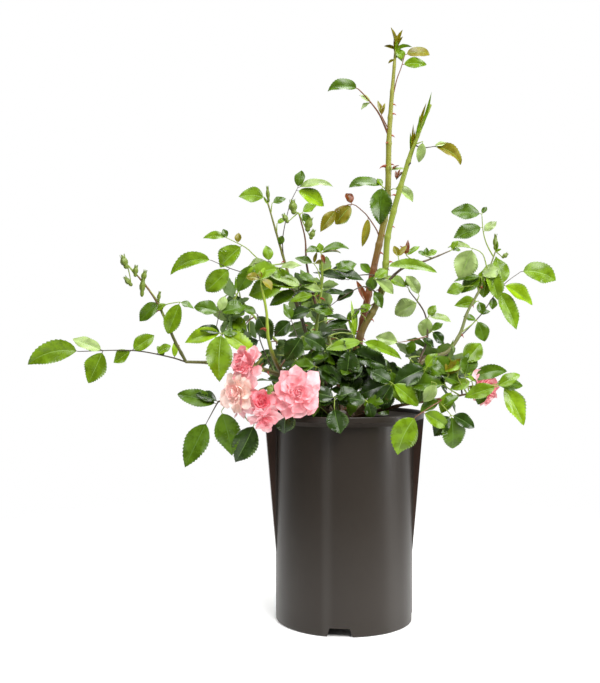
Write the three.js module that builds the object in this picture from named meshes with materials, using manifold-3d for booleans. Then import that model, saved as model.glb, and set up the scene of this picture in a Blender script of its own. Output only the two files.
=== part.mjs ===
// A young rose bush in its nursery pot: pot, potting mix, crown stem, canes, and the foliage and
// blooms as uneven masses cut round the canes. Millimetres, +Z up, front towards -Y.
// The origin is the centre of the pot's flat underside.
import * as THREE from "three";
import { mergeVertices } from "three/addons/utils/BufferGeometryUtils.js";
import Module from "manifold-3d";

const wasm = await Module();
wasm.setup();

// ---- driving dimensions ----
const GAP = 0.3; // clearance between neighbouring pieces
const POT = {
  height: 245,
  wall: 1.8,
  floor: 2.5,
  footRadius: 81, // the wall stands almost upright at this radius
  footRound: 2.5,
  rimRadius: 95,
  lipHeight: 6.5,
  lipThick: 2.5,
  ledgeRise: 6, // the wall steps out under the lip over this height
  ribFoot: 80, // the two side ribs taper away to nothing at this height
  sides: 48,
};
const DRAIN = { count: 4, width: 28, height: 10, slant: 5, depth: 14, turn: 3.5 };
const MIX = { top: 222, bumps: 2.5, levelRadius: 26, sides: 24 };
const CROWN = { foot: 17, head: 12, height: 26, sides: 10 };
const CANE_SIDES = 6;
const CANE_STEP = 28; // length of one straight facet along a cane
const MASS_UNEVEN = 0.34; // how far a mass swells and shrinks, as a share of its size
const MASS_GRIDS = { small: [7, 5], large: [9, 6], smallHalf: 32 }; // facets round and along a mass

const COLOURS = {
  pot: { color: 0x46423d, roughness: 0.42, metalness: 0 },
  mix: { color: 0x2b211b, roughness: 0.95, metalness: 0 },
  bark: { color: 0x6c5a33, roughness: 0.6, metalness: 0 },
  green: { color: 0x8fa53c, roughness: 0.5, metalness: 0 },
  leaf: { color: 0x4c7a2b, roughness: 0.45, metalness: 0 },
  bloom: { color: 0xf08a98, roughness: 0.7, metalness: 0 },
};

// ---- canes: parent and place along it, radius at foot and tip, and the points it bends through ----
const MIX_TOP = MIX.top + GAP;
const CANES = [
  { name: "tall_cane", foot: [4, 5, 238], radii: [5, 1.6], colour: "bark",
    via: [[21, 14, 338], [38, 20, 421], [53, 22, 494], [56, 18, 584], [63, 14, 680]] },
  { name: "leaning_cane", foot: [6, -6, 237], radii: [4.6, 1.8], colour: "green",
    via: [[17, -12, 332], [34, -11, 363], [48, -8, 401], [51, -7, 448], [80, -12, 554], [101, -16, 606]] },
  { name: "left_arching_cane", foot: [-7, -4, 237], radii: [3.6, 2.6], colour: "bark",
    via: [[-52, -25, 277], [-110, -42, 300], [-181, -62, 305]] },
  { name: "left_rising_cane", parent: "left_arching_cane", at: 1, radii: [2.4, 1.2], colour: "green",
    via: [[-192, -64, 327], [-217, -68, 380], [-245, -72, 414]] },
  { name: "left_lower_cane", foot: [-5, -8, 236], radii: [3, 1.5], colour: "bark",
    via: [[-46, -60, 262], [-95, -92, 269], [-142, -88, 262]] },
  { name: "left_upright_shoot", foot: [-7, 3, 239], radii: [3.2, 1.4], colour: "green",
    via: [[-42, 8, 330], [-73, 12, 432], [-91, 16, 495]] },
  { name: "centre_green_stem", parent: "left_arching_cane", at: 0.17, radii: [2.8, 1.5], colour: "green",
    via: [[-33, -28, 345], [-27, -33, 390], [-27, -35, 424]] },
  { name: "bud_stem", parent: "centre_green_stem", at: 0.62, radii: [1.8, 1], colour: "bark",
    via: [[-44, -21, 415], [-46, -22, 447], [-54, -25, 478]] },
  { name: "young_green_shoot", parent: "left_arching_cane", at: 0.42, radii: [2.6, 1.6], colour: "green",
    via: [[-86, -62, 320], [-90, -66, 363], [-96, -66, 392]] },
  { name: "right_cane", foot: [8, 0, 237], radii: [3.8, 1.2], colour: "green",
    via: [[87, 6, 301], [132, 20, 320], [153, 32, 364], [175, 42, 402], [191, 50, 440]] },
  { name: "right_lower_cane", foot: [3, -9, 236], radii: [2.6, 1.3], colour: "bark",
    via: [[61, -60, 256], [115, -75, 266], [148, -80, 273]] },
  { name: "right_inner_stem", parent: "right_cane", at: 0.36, radii: [1.5, 0.9], colour: "bark",
    via: [[102, 16, 334], [101, 22, 358], [82, 30, 389]] },
  { name: "side_shoot", parent: "leaning_cane", at: 0.43, radii: [1.9, 1], colour: "bark",
    via: [[66, -5, 413], [97, 4, 424], [128, 12, 437]] },
  { name: "rear_cane", foot: [-1, 10, 238], radii: [3.6, 1.5], colour: "bark",
    via: [[-8, 60, 300], [-22, 130, 360], [-32, 190, 390]] },
  { name: "rear_left_cane", foot: [-7, 8, 236], radii: [3.2, 1.4], colour: "green",
    via: [[-45, 50, 290], [-98, 98, 345], [-140, 138, 394]] },
  { name: "rear_right_cane", foot: [7, 8, 236], radii: [3, 1.4], colour: "green",
    via: [[45, 48, 275], [95, 92, 297], [142, 132, 312]] },
];

// ---- masses: each runs from one end to the other, with its half-breadth and half-depth ----
const MASSES = [
  // the heart of the bush
  { name: "centre_low_leaves", from: [-82, -38, 314], to: [78, -32, 290], wide: 36, deep: 36 },
  { name: "centre_high_leaves", from: [-64, -24, 430], to: [4, -28, 340], wide: 32, deep: 26 },
  { name: "left_inner_leaves", from: [-106, -38, 438], to: [-90, -42, 322], wide: 40, deep: 30 },
  { name: "right_low_leaves", from: [64, -34, 272], to: [146, -40, 314], wide: 28, deep: 26 },
  { name: "rim_hanging_leaf", from: [-18, -62, 286], to: [-16, -108, 228], wide: 18, deep: 7 },
  // left side
  { name: "long_left_spray", from: [-357, -84, 301], to: [-177, -62, 317], wide: 21, deep: 9 },
  { name: "rising_bud_spray", from: [-258, -74, 425], to: [-184, -62, 332], wide: 18, deep: 12 },
  { name: "left_fan_spray", from: [-213, 14, 416], to: [-88, -24, 424], wide: 25, deep: 12 },
  { name: "left_front_leaves", from: [-183, -84, 331], to: [-78, -62, 330], wide: 16, deep: 14 },
  { name: "left_pointed_leaf", from: [-138, -84, 338], to: [-137, -107, 274], wide: 15, deep: 7 },
  { name: "left_low_spray", from: [-189, -84, 271], to: [-116, -90, 256], wide: 13, deep: 10 },
  { name: "left_hanging_leaf", from: [-161, -86, 264], to: [-178, -92, 189], wide: 15, deep: 7 },
  { name: "left_hanging_pair", from: [-134, -90, 262], to: [-114, -98, 194], wide: 22, deep: 9 },
  { name: "side_blooms", colour: "bloom", from: [-108, -110, 330], to: [-108, -116, 240], wide: 28, deep: 27 },
  { name: "front_bloom", colour: "bloom", from: [-85, -114, 276], to: [-28, -114, 272], wide: 29, deep: 20 },
  // upright shoots
  { name: "left_tip_leaves", from: [-129, 18, 508], to: [-72, 15, 508], wide: 13, deep: 8 },
  { name: "bud_cluster", from: [-54, -25, 500], to: [-49, -23, 442], wide: 18, deep: 10 },
  { name: "curled_leaf_spray", from: [-92, 14, 484], to: [-7, 4, 518], wide: 15, deep: 10 },
  { name: "cane_side_leaves", from: [70, 12, 512], to: [-33, 4, 474], wide: 19, deep: 17 },
  { name: "tall_cane_left_leaf", from: [-21, 8, 636], to: [60, 16, 606], wide: 10, deep: 7 },
  { name: "tall_cane_tip_leaves", from: [65, 14, 706], to: [62, 14, 656], wide: 13, deep: 10 },
  { name: "tall_cane_right_leaf", from: [64, 13, 660], to: [108, 12, 676], wide: 10, deep: 7 },
  { name: "leaning_tip_leaves", from: [104, -17, 620], to: [94, -14, 568], wide: 11, deep: 9 },
  { name: "leaning_side_leaf", from: [76, -12, 550], to: [140, -18, 544], wide: 12, deep: 7 },
  { name: "side_shoot_leaves", from: [38, -14, 414], to: [106, 4, 434], wide: 16, deep: 11 },
  // right side
  { name: "right_inner_spray", from: [84, 32, 414], to: [112, 16, 336], wide: 20, deep: 10 },
  { name: "right_top_spray", from: [135, 44, 490], to: [190, 50, 434], wide: 17, deep: 8 },
  { name: "right_bud_leaves", from: [126, 34, 420], to: [208, 48, 414], wide: 30, deep: 17 },
  { name: "right_far_spray", from: [271, 66, 407], to: [194, 48, 402], wide: 16, deep: 9 },
  { name: "right_drooping_leaf", from: [200, 50, 400], to: [217, 58, 334], wide: 14, deep: 8 },
  { name: "right_middle_leaves", from: [150, 32, 388], to: [175, 36, 326], wide: 13, deep: 9 },
  { name: "right_bloom", colour: "bloom", from: [150, -78, 300], to: [150, -79, 255], wide: 18, deep: 16 },
  { name: "right_tip_leaves", from: [150, -82, 292], to: [201, -88, 240], wide: 13, deep: 8 },
  { name: "front_right_leaves", from: [78, -68, 258], to: [124, -98, 212], wide: 18, deep: 10 },
  { name: "front_hanging_leaf", from: [76, -62, 266], to: [52, -115, 206], wide: 16, deep: 7 },
  // back
  { name: "rear_tip_leaves", from: [-70, 176, 404], to: [10, 218, 372], wide: 36, deep: 28 },
  { name: "rear_middle_leaves", from: [-66, 104, 346], to: [40, 116, 322], wide: 38, deep: 34 },
  { name: "rear_left_leaves", from: [-174, 140, 392], to: [-88, 106, 350], wide: 35, deep: 28 },
  { name: "rear_low_leaves", from: [-116, 64, 300], to: [-34, 76, 318], wide: 32, deep: 26 },
  { name: "rear_right_leaves", from: [60, 82, 286], to: [164, 134, 304], wide: 30, deep: 28 },
];

// ---- shared helpers ----
const vec = (p) => new THREE.Vector3(...p);

// Repeatable numbers from 0 to 1, so that each mass keeps its own shape.
function seeded(seed) {
  let state = seed * 7919 + 17;
  return () => {
    state = (state * 16807) % 2147483647;
    return state / 2147483647;
  };
}

function toSolid(geometry) {
  const bare = geometry.clone();
  bare.deleteAttribute("normal");
  bare.deleteAttribute("uv");
  const merged = mergeVertices(bare, 1e-4);
  return new wasm.Manifold(
    new wasm.Mesh({
      numProp: 3,
      vertProperties: merged.attributes.position.array,
      triVerts: new Uint32Array(merged.index.array),
    }),
  );
}

function toGeometry(solid) {
  const { vertProperties, triVerts } = solid.getMesh();
  const geometry = new THREE.BufferGeometry();
  geometry.setAttribute("position", new THREE.BufferAttribute(vertProperties, 3));
  geometry.setIndex(new THREE.BufferAttribute(triVerts, 1));
  geometry.computeVertexNormals();
  return geometry;
}

// What is left of a solid beside its neighbours, without the crumbs that a cut leaves.
function largestPiece(solid) {
  return solid.decompose().reduce((most, piece) => (piece.volume() > most.volume() ? piece : most));
}

function cutRound(solid, neighbours) {
  return largestPiece(neighbours.reduce((rest, other) => rest.subtract(other), solid));
}

function moveVertices(geometry, place) {
  const position = geometry.attributes.position;
  const vertex = new THREE.Vector3();
  for (let i = 0; i < position.count; i++) {
    vertex.fromBufferAttribute(position, i);
    place(vertex);
    position.setXYZ(i, vertex.x, vertex.y, vertex.z);
  }
  return geometry;
}

const bush = new THREE.Group();

function addPiece(name, geometry, colour) {
  const mesh = new THREE.Mesh(geometry, new THREE.MeshStandardMaterial(COLOURS[colour]));
  mesh.name = name;
  bush.add(mesh);
}

// ---- pot: one turned shell with two tapering ribs pushed out of its wall, and drain notches ----
function potGeometry() {
  const { height, wall, floor, footRadius, footRound, rimRadius, lipHeight, lipThick, ledgeRise } = POT;
  const lipFoot = height - lipHeight;
  const ledgeFoot = lipFoot - ledgeRise;
  const inside = footRadius - wall;
  const profile = [
    [0, 0],
    [footRadius - footRound, 0],
    [footRadius, footRound],
    [footRadius, POT.ribFoot],
    [footRadius, ledgeFoot],
    [rimRadius - wall, lipFoot],
    [rimRadius, lipFoot],
    [rimRadius, height],
    [rimRadius - lipThick, height],
    [rimRadius - lipThick, lipFoot + wall],
    [inside, ledgeFoot + wall],
    [inside, POT.ribFoot],
    [inside, floor],
    [0, floor],
  ].map(([radius, z]) => new THREE.Vector2(radius, z));
  const shell = new THREE.LatheGeometry(profile, POT.sides);
  shell.rotateX(Math.PI / 2);

  const ribRise = rimRadius - wall - footRadius;
  const ribHalf = 1.5 * ((2 * Math.PI) / POT.sides);
  return moveVertices(shell, (v) => {
    const radius = Math.hypot(v.x, v.y);
    const fromSide = Math.atan2(Math.abs(v.y), Math.abs(v.x));
    if (fromSide > ribHalf || radius > footRadius + 1 || v.z < POT.ribFoot) return;
    const rise = (ribRise * (v.z - POT.ribFoot)) / (lipFoot - POT.ribFoot);
    v.x *= (radius + rise) / radius;
    v.y *= (radius + rise) / radius;
  });
}

function drainNotch(angle) {
  const half = DRAIN.width / 2;
  const outline = new THREE.Shape([
    new THREE.Vector2(-half, -1),
    new THREE.Vector2(half, -1),
    new THREE.Vector2(half - DRAIN.slant, DRAIN.height),
    new THREE.Vector2(-half + 1, DRAIN.height),
  ]);
  const notch = new THREE.ExtrudeGeometry(outline, { depth: DRAIN.depth, bevelEnabled: false });
  notch.rotateX(Math.PI / 2);
  notch.translate(0, -(POT.footRadius - DRAIN.depth / 2), 0);
  notch.rotateZ(angle);
  return toSolid(notch);
}

function makePot() {
  let pot = toSolid(potGeometry());
  for (let i = 0; i < DRAIN.count; i++) {
    const angle = (i * 2 * Math.PI) / DRAIN.count - THREE.MathUtils.degToRad(DRAIN.turn);
    pot = pot.subtract(drainNotch(angle));
  }
  addPiece("pot", toGeometry(pot), "pot");
}

function makePottingMix() {
  const radius = POT.footRadius - POT.wall - 2 * GAP;
  const bottom = POT.floor + GAP;
  const profile = [
    [0, bottom],
    [radius, bottom],
    [radius, MIX.top],
    [radius * 0.66, MIX.top],
    [MIX.levelRadius, MIX.top],
    [0, MIX.top],
  ].map(([r, z]) => new THREE.Vector2(r, z));
  const mix = new THREE.LatheGeometry(profile, MIX.sides);
  mix.rotateX(Math.PI / 2);
  moveVertices(mix, (v) => {
    if (v.z < MIX.top || Math.hypot(v.x, v.y) <= MIX.levelRadius) return;
    v.z += MIX.bumps * Math.sin(v.x / 9 + 1) * Math.cos(v.y / 11);
  });
  addPiece("potting_mix", mix, "mix");
}

// ---- crown stem: the short knobbly stump that every main cane springs from ----
function crownGeometry(grow) {
  const stem = new THREE.CylinderGeometry(1, 1, 1, CROWN.sides, 3);
  stem.rotateX(Math.PI / 2);
  return moveVertices(stem, (v) => {
    const up = v.z + 0.5;
    const knob = 1 + 0.09 * Math.sin(3 * Math.atan2(v.y, v.x) + 4 * up);
    const radius = THREE.MathUtils.lerp(CROWN.foot, CROWN.head, up) * knob + grow;
    v.x *= radius;
    v.y *= radius;
    v.z = MIX_TOP + up * CROWN.height + (up > 0.5 ? grow : 0);
  });
}

// ---- canes: a tapering cylinder bent along a curve through the cane's points ----
function caneCurve(cane, curves) {
  const start = cane.parent ? curves.get(cane.parent).getPointAt(cane.at) : vec(cane.foot);
  return new THREE.CatmullRomCurve3([start, ...cane.via.map(vec)], false, "centripetal");
}

function caneGeometry(cane, curve, grow) {
  const steps = Math.max(3, Math.round(curve.getLength() / CANE_STEP));
  const { normals, binormals } = curve.computeFrenetFrames(steps, false);
  const [footRadius, tipRadius] = cane.radii;
  const tube = new THREE.CylinderGeometry(1, 1, 1, CANE_SIDES, steps);
  return moveVertices(tube, (v) => {
    const along = v.y + 0.5;
    const ring = Math.round(along * steps);
    const radius = THREE.MathUtils.lerp(footRadius, tipRadius, along) + grow;
    const beyond = curve.getTangentAt(along).multiplyScalar(along > 0.99 ? grow : 0);
    const across = normals[ring].clone().multiplyScalar(v.x * radius);
    const over = binormals[ring].clone().multiplyScalar(-v.z * radius);
    v.copy(curve.getPointAt(along)).add(across).add(over).add(beyond);
  });
}

// ---- masses: a ball stretched from one end to the other and swollen unevenly ----
function massGeometry(mass, seed, grow) {
  const from = vec(mass.from);
  const to = vec(mass.to);
  const half = from.distanceTo(to) / 2;
  const centre = from.clone().add(to).multiplyScalar(0.5);
  const along = to.clone().sub(from).normalize();
  const depth = new THREE.Vector3(0, 1, 0).addScaledVector(along, -along.y).normalize();
  const across = new THREE.Vector3().crossVectors(along, depth);
  const random = seeded(seed);
  const waves = [3.1, 4.3, 5.2].map((rate) => ({ rate, phase: random() * 2 * Math.PI, turn: random() * 6 }));

  const grid = half < MASS_GRIDS.smallHalf ? MASS_GRIDS.small : MASS_GRIDS.large;
  const ball = new THREE.SphereGeometry(1, ...grid);
  return moveVertices(ball, (v) => {
    const swell = waves.reduce(
      (sum, w) => sum + Math.sin(w.rate * v.y + w.phase) * Math.cos(w.rate * v.x + w.turn + v.z),
      0,
    );
    const size = 1 + (MASS_UNEVEN * swell) / waves.length;
    const outward = new THREE.Vector3(v.x / mass.wide, v.y / half, v.z / mass.deep).normalize();
    const x = v.x * mass.wide * size + outward.x * grow;
    const y = v.y * half * (size * 0.5 + 0.5) + outward.y * grow;
    const z = v.z * mass.deep * size + outward.z * grow;
    v.copy(centre).addScaledVector(across, x).addScaledVector(along, y).addScaledVector(depth, z);
  });
}

// The pot and everything above its mix up to the rim, which foliage stays clear of.
function potKeepOut() {
  const clear = new THREE.CylinderGeometry(1, 1, 1, POT.sides, 1);
  clear.rotateX(Math.PI / 2);
  clear.scale(POT.rimRadius + 2 * GAP, POT.rimRadius + 2 * GAP, POT.height + GAP);
  clear.translate(0, 0, (POT.height + GAP) / 2);
  return toSolid(clear);
}

// ---- assembly ----
makePot();
makePottingMix();

addPiece("crown_stem", crownGeometry(0), "bark");
const taken = [toSolid(crownGeometry(GAP))];

const curves = new Map();
for (const cane of CANES) {
  const curve = caneCurve(cane, curves);
  curves.set(cane.name, curve);
  const tube = cutRound(toSolid(caneGeometry(cane, curve, 0)), taken);
  addPiece(cane.name, toGeometry(tube), cane.colour);
  taken.push(toSolid(caneGeometry(cane, curve, GAP)));
}

taken.push(potKeepOut());
MASSES.forEach((mass, i) => {
  const solid = cutRound(toSolid(massGeometry(mass, i + 1, 0)), taken);
  addPiece(mass.name, toGeometry(solid), mass.colour ?? "leaf");
  taken.push(toSolid(massGeometry(mass, i + 1, 2 * GAP)));
});

export default bush;
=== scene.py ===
import math
import random

import bpy
from mathutils import Matrix, Vector, noise


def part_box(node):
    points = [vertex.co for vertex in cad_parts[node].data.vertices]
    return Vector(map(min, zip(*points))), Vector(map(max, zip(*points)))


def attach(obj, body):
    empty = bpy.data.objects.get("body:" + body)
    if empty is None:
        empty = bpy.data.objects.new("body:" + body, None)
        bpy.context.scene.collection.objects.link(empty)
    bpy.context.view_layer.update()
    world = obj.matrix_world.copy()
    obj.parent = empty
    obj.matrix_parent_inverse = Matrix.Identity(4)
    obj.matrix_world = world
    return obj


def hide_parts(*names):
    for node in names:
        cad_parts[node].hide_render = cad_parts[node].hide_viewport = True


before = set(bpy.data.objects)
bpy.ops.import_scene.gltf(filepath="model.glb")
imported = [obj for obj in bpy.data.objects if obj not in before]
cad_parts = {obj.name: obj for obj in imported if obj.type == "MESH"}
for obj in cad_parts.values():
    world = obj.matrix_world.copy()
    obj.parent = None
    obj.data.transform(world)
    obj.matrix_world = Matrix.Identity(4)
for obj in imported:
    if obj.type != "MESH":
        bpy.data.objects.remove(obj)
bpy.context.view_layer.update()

MM = 0.001  # every size below is in millimetres

# ---- the pot, as the frame's own pot is made ----
POT_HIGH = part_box("pot")[1] / MM
POT = {
    "height": POT_HIGH.z,
    "rim": POT_HIGH.y,
    "foot": 81.0,
    "wall": 1.8,
    "floor": 2.5,
    "lip_height": 6.5,
    "lip_thick": 2.5,
    "lip_round": 1.0,
    "lip_chamfer": 0.4,
    "ledge_rise": 6.0,
    "rib_foot": 80.0,
    "rib_half": 10.6,  # degrees to each side
    "rib_edge": 0.35,  # degrees to each side of an edge over which a rib rises
    "foot_round": 2.5,
    "foot_ring": 12.0,
    "hollow": 10.5,  # the underside stands this far above the ground inside its foot ring
}
LIP_FOOT = POT["height"] - POT["lip_height"]
INSIDE_FLOOR = POT["hollow"] + POT["floor"]
WALL_LEVELS = (12, 30, 55, POT["rib_foot"], 105, 130, 155, 180, 205)  # rows of points up the wall
DRAIN = {
    "count": 4, "width": 29.0, "height": 10.0, "slant": 3.2, "turn": 6.0,
    "outside": 7.0,  # how far the cut reaches to each side of the foot of the wall
    "inside": 14.0,
}
MIX_TOP = 222.0
MIX_REACH = POT["foot"] - POT["wall"] - 0.6  # the mix stays a little clear of the wall
MIX_FOOT = INSIDE_FLOOR + 0.4  # and of the floor
CROWN_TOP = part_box("crown_stem")[1].z / MM

# ---- canes: parents come before what grows on them ----
CANES = {
    "tall_cane": "tall_bark",
    "leaning_cane": "leaning_bark",
    "left_arching_cane": "arching_bark",
    "left_rising_cane": "rising_bark",
    "left_lower_cane": "arching_bark",
    "left_upright_shoot": "shoot_bark",
    "centre_green_stem": "green_bark",
    "bud_stem": "red_bark",
    "young_green_shoot": "bright_bark",
    "right_cane": "right_bark",
    "right_lower_cane": "arching_bark",
    "right_inner_stem": "twig_bark",
    "side_shoot": "twig_bark",
    "rear_cane": "arching_bark",
    "rear_left_cane": "green_bark",
    "rear_right_cane": "green_bark",
}
GIRTHS = {
    # each cane's girth at its foot and its tip, as a share of the frame's, and how much fuller it
    # is than that above its middle
    "tall_cane": (1.0, 0.95, 0.33), "leaning_cane": (1.0, 1.0, 0.2), "right_cane": (0.9, 0.6, 0.1),
    "bud_stem": (0.9, 0.6, 0), "left_upright_shoot": (0.85, 0.6, 0.1), "left_rising_cane": (0.8, 0.5, 0.1),
    "centre_green_stem": (0.95, 0.75, 0), "left_arching_cane": (0.95, 0.6, 0),
}
PLAIN_GIRTH = (0.95, 0.7, 0)
TAPER = 2.5  # a cane thins mostly towards its tip
FULLEST = 9.48  # this makes the fullness 1 at three quarters of the way up, where it is greatest
RING_SPAN = 11.0  # no ring of a cane's frame solid is wider than this
CANE_SIDES = 14
CANE_STEP = 2.4
NODE_SPACING = 31.0  # from one leaf scar to the next
ROUND = 6.28  # a whole turn, for random headings
FIFTH = 1.2566  # a fifth of a turn, from one sepal to the next


def round_point(radius, turn, z):
    return Vector((radius * math.cos(turn), radius * math.sin(turn), z))


def turned_about(axis, direction, turn):
    found = direction.copy()
    found.rotate(Matrix.Rotation(turn, 3, axis))
    return found


# ================= finishes =================
FINISHES = {}


def rgb(red, green, blue):
    return (red, green, blue, 1.0)


def shade(colour, share):
    return rgb(*(c * share for c in colour[:3]))


class Value:
    """A shader socket that Python's own operators work on."""

    def __init__(self, finish, socket):
        self.finish = finish
        self.socket = socket

    def __add__(self, other):
        return self.finish.maths("ADD", self, other)

    def __sub__(self, other):
        return self.finish.maths("SUBTRACT", self, other)

    def __rsub__(self, other):
        return self.finish.maths("SUBTRACT", other, self)

    def __mul__(self, other):
        return self.finish.maths("MULTIPLY", self, other)

    __radd__, __rmul__ = __add__, __mul__


class Nodes:
    """The nodes of one shader tree, made and joined by name."""

    def __init__(self, tree):
        self.tree = tree

    def feed(self, socket, value):
        if isinstance(value, Value):
            self.tree.links.new(value.socket, socket)
        else:
            socket.default_value = value

    def node(self, kind, settings=None, inputs=None, output=0):
        made = self.tree.nodes.new(kind)
        for key, value in (settings or {}).items():
            if key == "stops":
                for stop, (place, colour) in enumerate(value):
                    elements = made.color_ramp.elements
                    element = elements[stop] if stop < 2 else elements.new(place)
                    element.position = place
                    element.color = colour
            else:
                setattr(made, key, value)
        for key, value in (inputs or {}).items():
            self.feed(made.inputs[key], value)
        return Value(self, made.outputs[output])

    def maths(self, operation, a, b):
        return self.node("ShaderNodeMath", {"operation": operation}, {0: a, 1: b})

    def range(self, value, low, high, bottom=0.0, top=1.0):
        """Bottom below low, top above high, and smooth between them."""
        settings = {"interpolation_type": "SMOOTHSTEP"}
        return self.node("ShaderNodeMapRange", settings, {0: value, 1: low, 2: high, 3: bottom, 4: top})


class Finish(Nodes):
    """One named surface: a shader with constant settings, and the nodes that vary it."""

    def __init__(self, name, **constants):
        self.material = bpy.data.materials.new(name)
        self.material.use_nodes = True
        super().__init__(self.material.node_tree)
        self.shader = next(n for n in self.tree.nodes if n.type == "BSDF_PRINCIPLED")
        for socket, value in constants.items():
            self.shader.inputs[socket.replace("_", " ")].default_value = value
        FINISHES[name] = self.material

    def blend(self, factor, a, b):
        return self.node("ShaderNodeMix", {"data_type": "RGBA"}, {0: factor, 6: a, 7: b}, 2)

    def place(self):
        return self.node("ShaderNodeTexCoord", output=3)

    def noise(self, scale, detail=3.0, stretch=None):
        where = self.place()
        if stretch:
            where = self.node("ShaderNodeMapping", None, {"Vector": where, "Scale": stretch})
        return self.node("ShaderNodeTexNoise", None, {"Vector": where, "Scale": scale, "Detail": detail})

    def along(self, axis):
        """How far a point lies along an axis: 0 across, 1 to the back, 2 up."""
        return self.node("ShaderNodeSeparateXYZ", None, {0: self.place()}, axis)

    def ramp(self, value, *stops):
        return self.node("ShaderNodeValToRGB", {"stops": stops}, {0: value})

    def bump(self, relief, distance, strength=1.0):
        inputs = {"Strength": strength, "Distance": distance, "Height": relief}
        self.feed(self.shader.inputs["Normal"], self.node("ShaderNodeBump", None, inputs))

    def colour(self, value):
        self.feed(self.shader.inputs["Base Color"], value)

    def roughness(self, value):
        self.feed(self.shader.inputs["Roughness"], value)


# leaf tints: the upper side, and how far its shine is blurred
LEAF_TINTS = {
    "lime": (rgb(0.235, 0.390, 0.004), 0.33),
    "fresh": (rgb(0.148, 0.262, 0.003), 0.31),
    "mid": (rgb(0.070, 0.142, 0.002), 0.29),
    "deep": (rgb(0.020, 0.048, 0.002), 0.27),
    # the pale tint is the leaves' grey-green with a painted sheen in it, lighter and greyer to stand for
    # the whitish reflections on glossy leaves
    "pale": (rgb(0.270, 0.370, 0.110), 0.33),
    "olive": (rgb(0.200, 0.175, 0.005), 0.33),
    "red": (rgb(0.170, 0.040, 0.007), 0.33),
}
UNDERSIDES = {
    "under_pale": rgb(0.200, 0.300, 0.070),
    "under_deep": rgb(0.090, 0.155, 0.032),
}
STALK_TINTS = {
    "stalk_green": rgb(0.250, 0.340, 0.040),
    "stalk_red": rgb(0.180, 0.065, 0.020),
    "stalk_dark": rgb(0.055, 0.042, 0.016),
    "prickle_red": rgb(0.330, 0.060, 0.025),
    "bud_green": rgb(0.150, 0.215, 0.020),
    "rib_pale": rgb(0.230, 0.380, 0.060),
    "rib_deep": rgb(0.090, 0.180, 0.022),
}
PETAL_TINTS = {
    "petal_pale": rgb(0.900, 0.490, 0.515),
    "petal_blush": rgb(0.950, 0.560, 0.500),
    "petal_pink": rgb(0.930, 0.340, 0.380),
    "petal_rose": rgb(0.900, 0.260, 0.310),
    "petal_coral": rgb(0.870, 0.150, 0.200),
    "petal_cream": rgb(0.950, 0.660, 0.570),
}


def leaf_finishes():
    """Leaf, stalk and petal colours are plain, with a soft clouding and a grain that breaks their shine.
    The petals also glow a little: painted light in place of the light that passes through real petals.
    """
    for name, (colour, shine) in LEAF_TINTS.items():
        leaf = Finish(name, Specular_IOR_Level=0.38)
        cloud = leaf.range(leaf.noise(95, 4), 0.36, 0.66)
        leaf.colour(leaf.blend(cloud, shade(colour, 0.76), shade(colour, 1.19)))
        leaf.roughness(cloud * 0.14 + (shine - 0.07))
        leaf.bump(leaf.noise(700, 2), 0.0002, 0.15)
    for name, colour in UNDERSIDES.items():
        under = Finish(name, Base_Color=colour, Roughness=0.62)
        under.bump(under.noise(1400, 2), 0.0002, 0.4)
    for name, colour in STALK_TINTS.items():
        stalk = Finish(name, Base_Color=colour, Roughness=0.45)
        stalk.bump(stalk.noise(1600, 2), 0.0002, 0.4)
    for name, colour in PETAL_TINTS.items():
        # painted light: each petal glows faintly in its own colour, which lifts the shade between the
        # petals
        petal = Finish(name, Roughness=0.62, Emission_Color=colour, Emission_Strength=0.10)
        flush = petal.range(petal.noise(160, 2), 0.38, 0.66)
        paler = rgb(*(c + (0.93 - c) * 0.28 for c in colour[:3]))
        petal.colour(petal.blend(flush, shade(colour, 0.9), paler))
        petal.bump(petal.noise(500, 2, (1, 1, 0.3)), 0.0002, 0.3)


BARKS = {
    # each bark's colour at its foot and above, the height in metres where one gives way to the other,
    # and over how much height
    "tall_bark": ((0.250, 0.070, 0.010), (0.290, 0.300, 0.026), 0.455, 0.05),
    "leaning_bark": ((0.170, 0.085, 0.018), (0.270, 0.340, 0.022), 0.375, 0.05),
    "arching_bark": ((0.130, 0.065, 0.020), (0.165, 0.195, 0.028), 0.300, 0.03),
    "green_bark": ((0.150, 0.150, 0.024), (0.240, 0.340, 0.030), 0.300, 0.04),
    "bright_bark": ((0.190, 0.110, 0.030), (0.340, 0.460, 0.035), 0.315, 0.02),
    "right_bark": ((0.110, 0.070, 0.020), (0.150, 0.175, 0.024), 0.310, 0.04),
    "rising_bark": ((0.120, 0.130, 0.022), (0.230, 0.130, 0.040), 0.370, 0.03),
    "shoot_bark": ((0.110, 0.085, 0.022), (0.190, 0.200, 0.030), 0.405, 0.03),
    "red_bark": ((0.150, 0.055, 0.020), (0.175, 0.080, 0.024), 0.460, 0.04),
    "twig_bark": ((0.095, 0.055, 0.022), (0.165, 0.130, 0.030), 0.440, 0.05),
    "crown_bark": ((0.130, 0.080, 0.040), (0.180, 0.110, 0.050), 0.240, 0.02),
}


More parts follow.
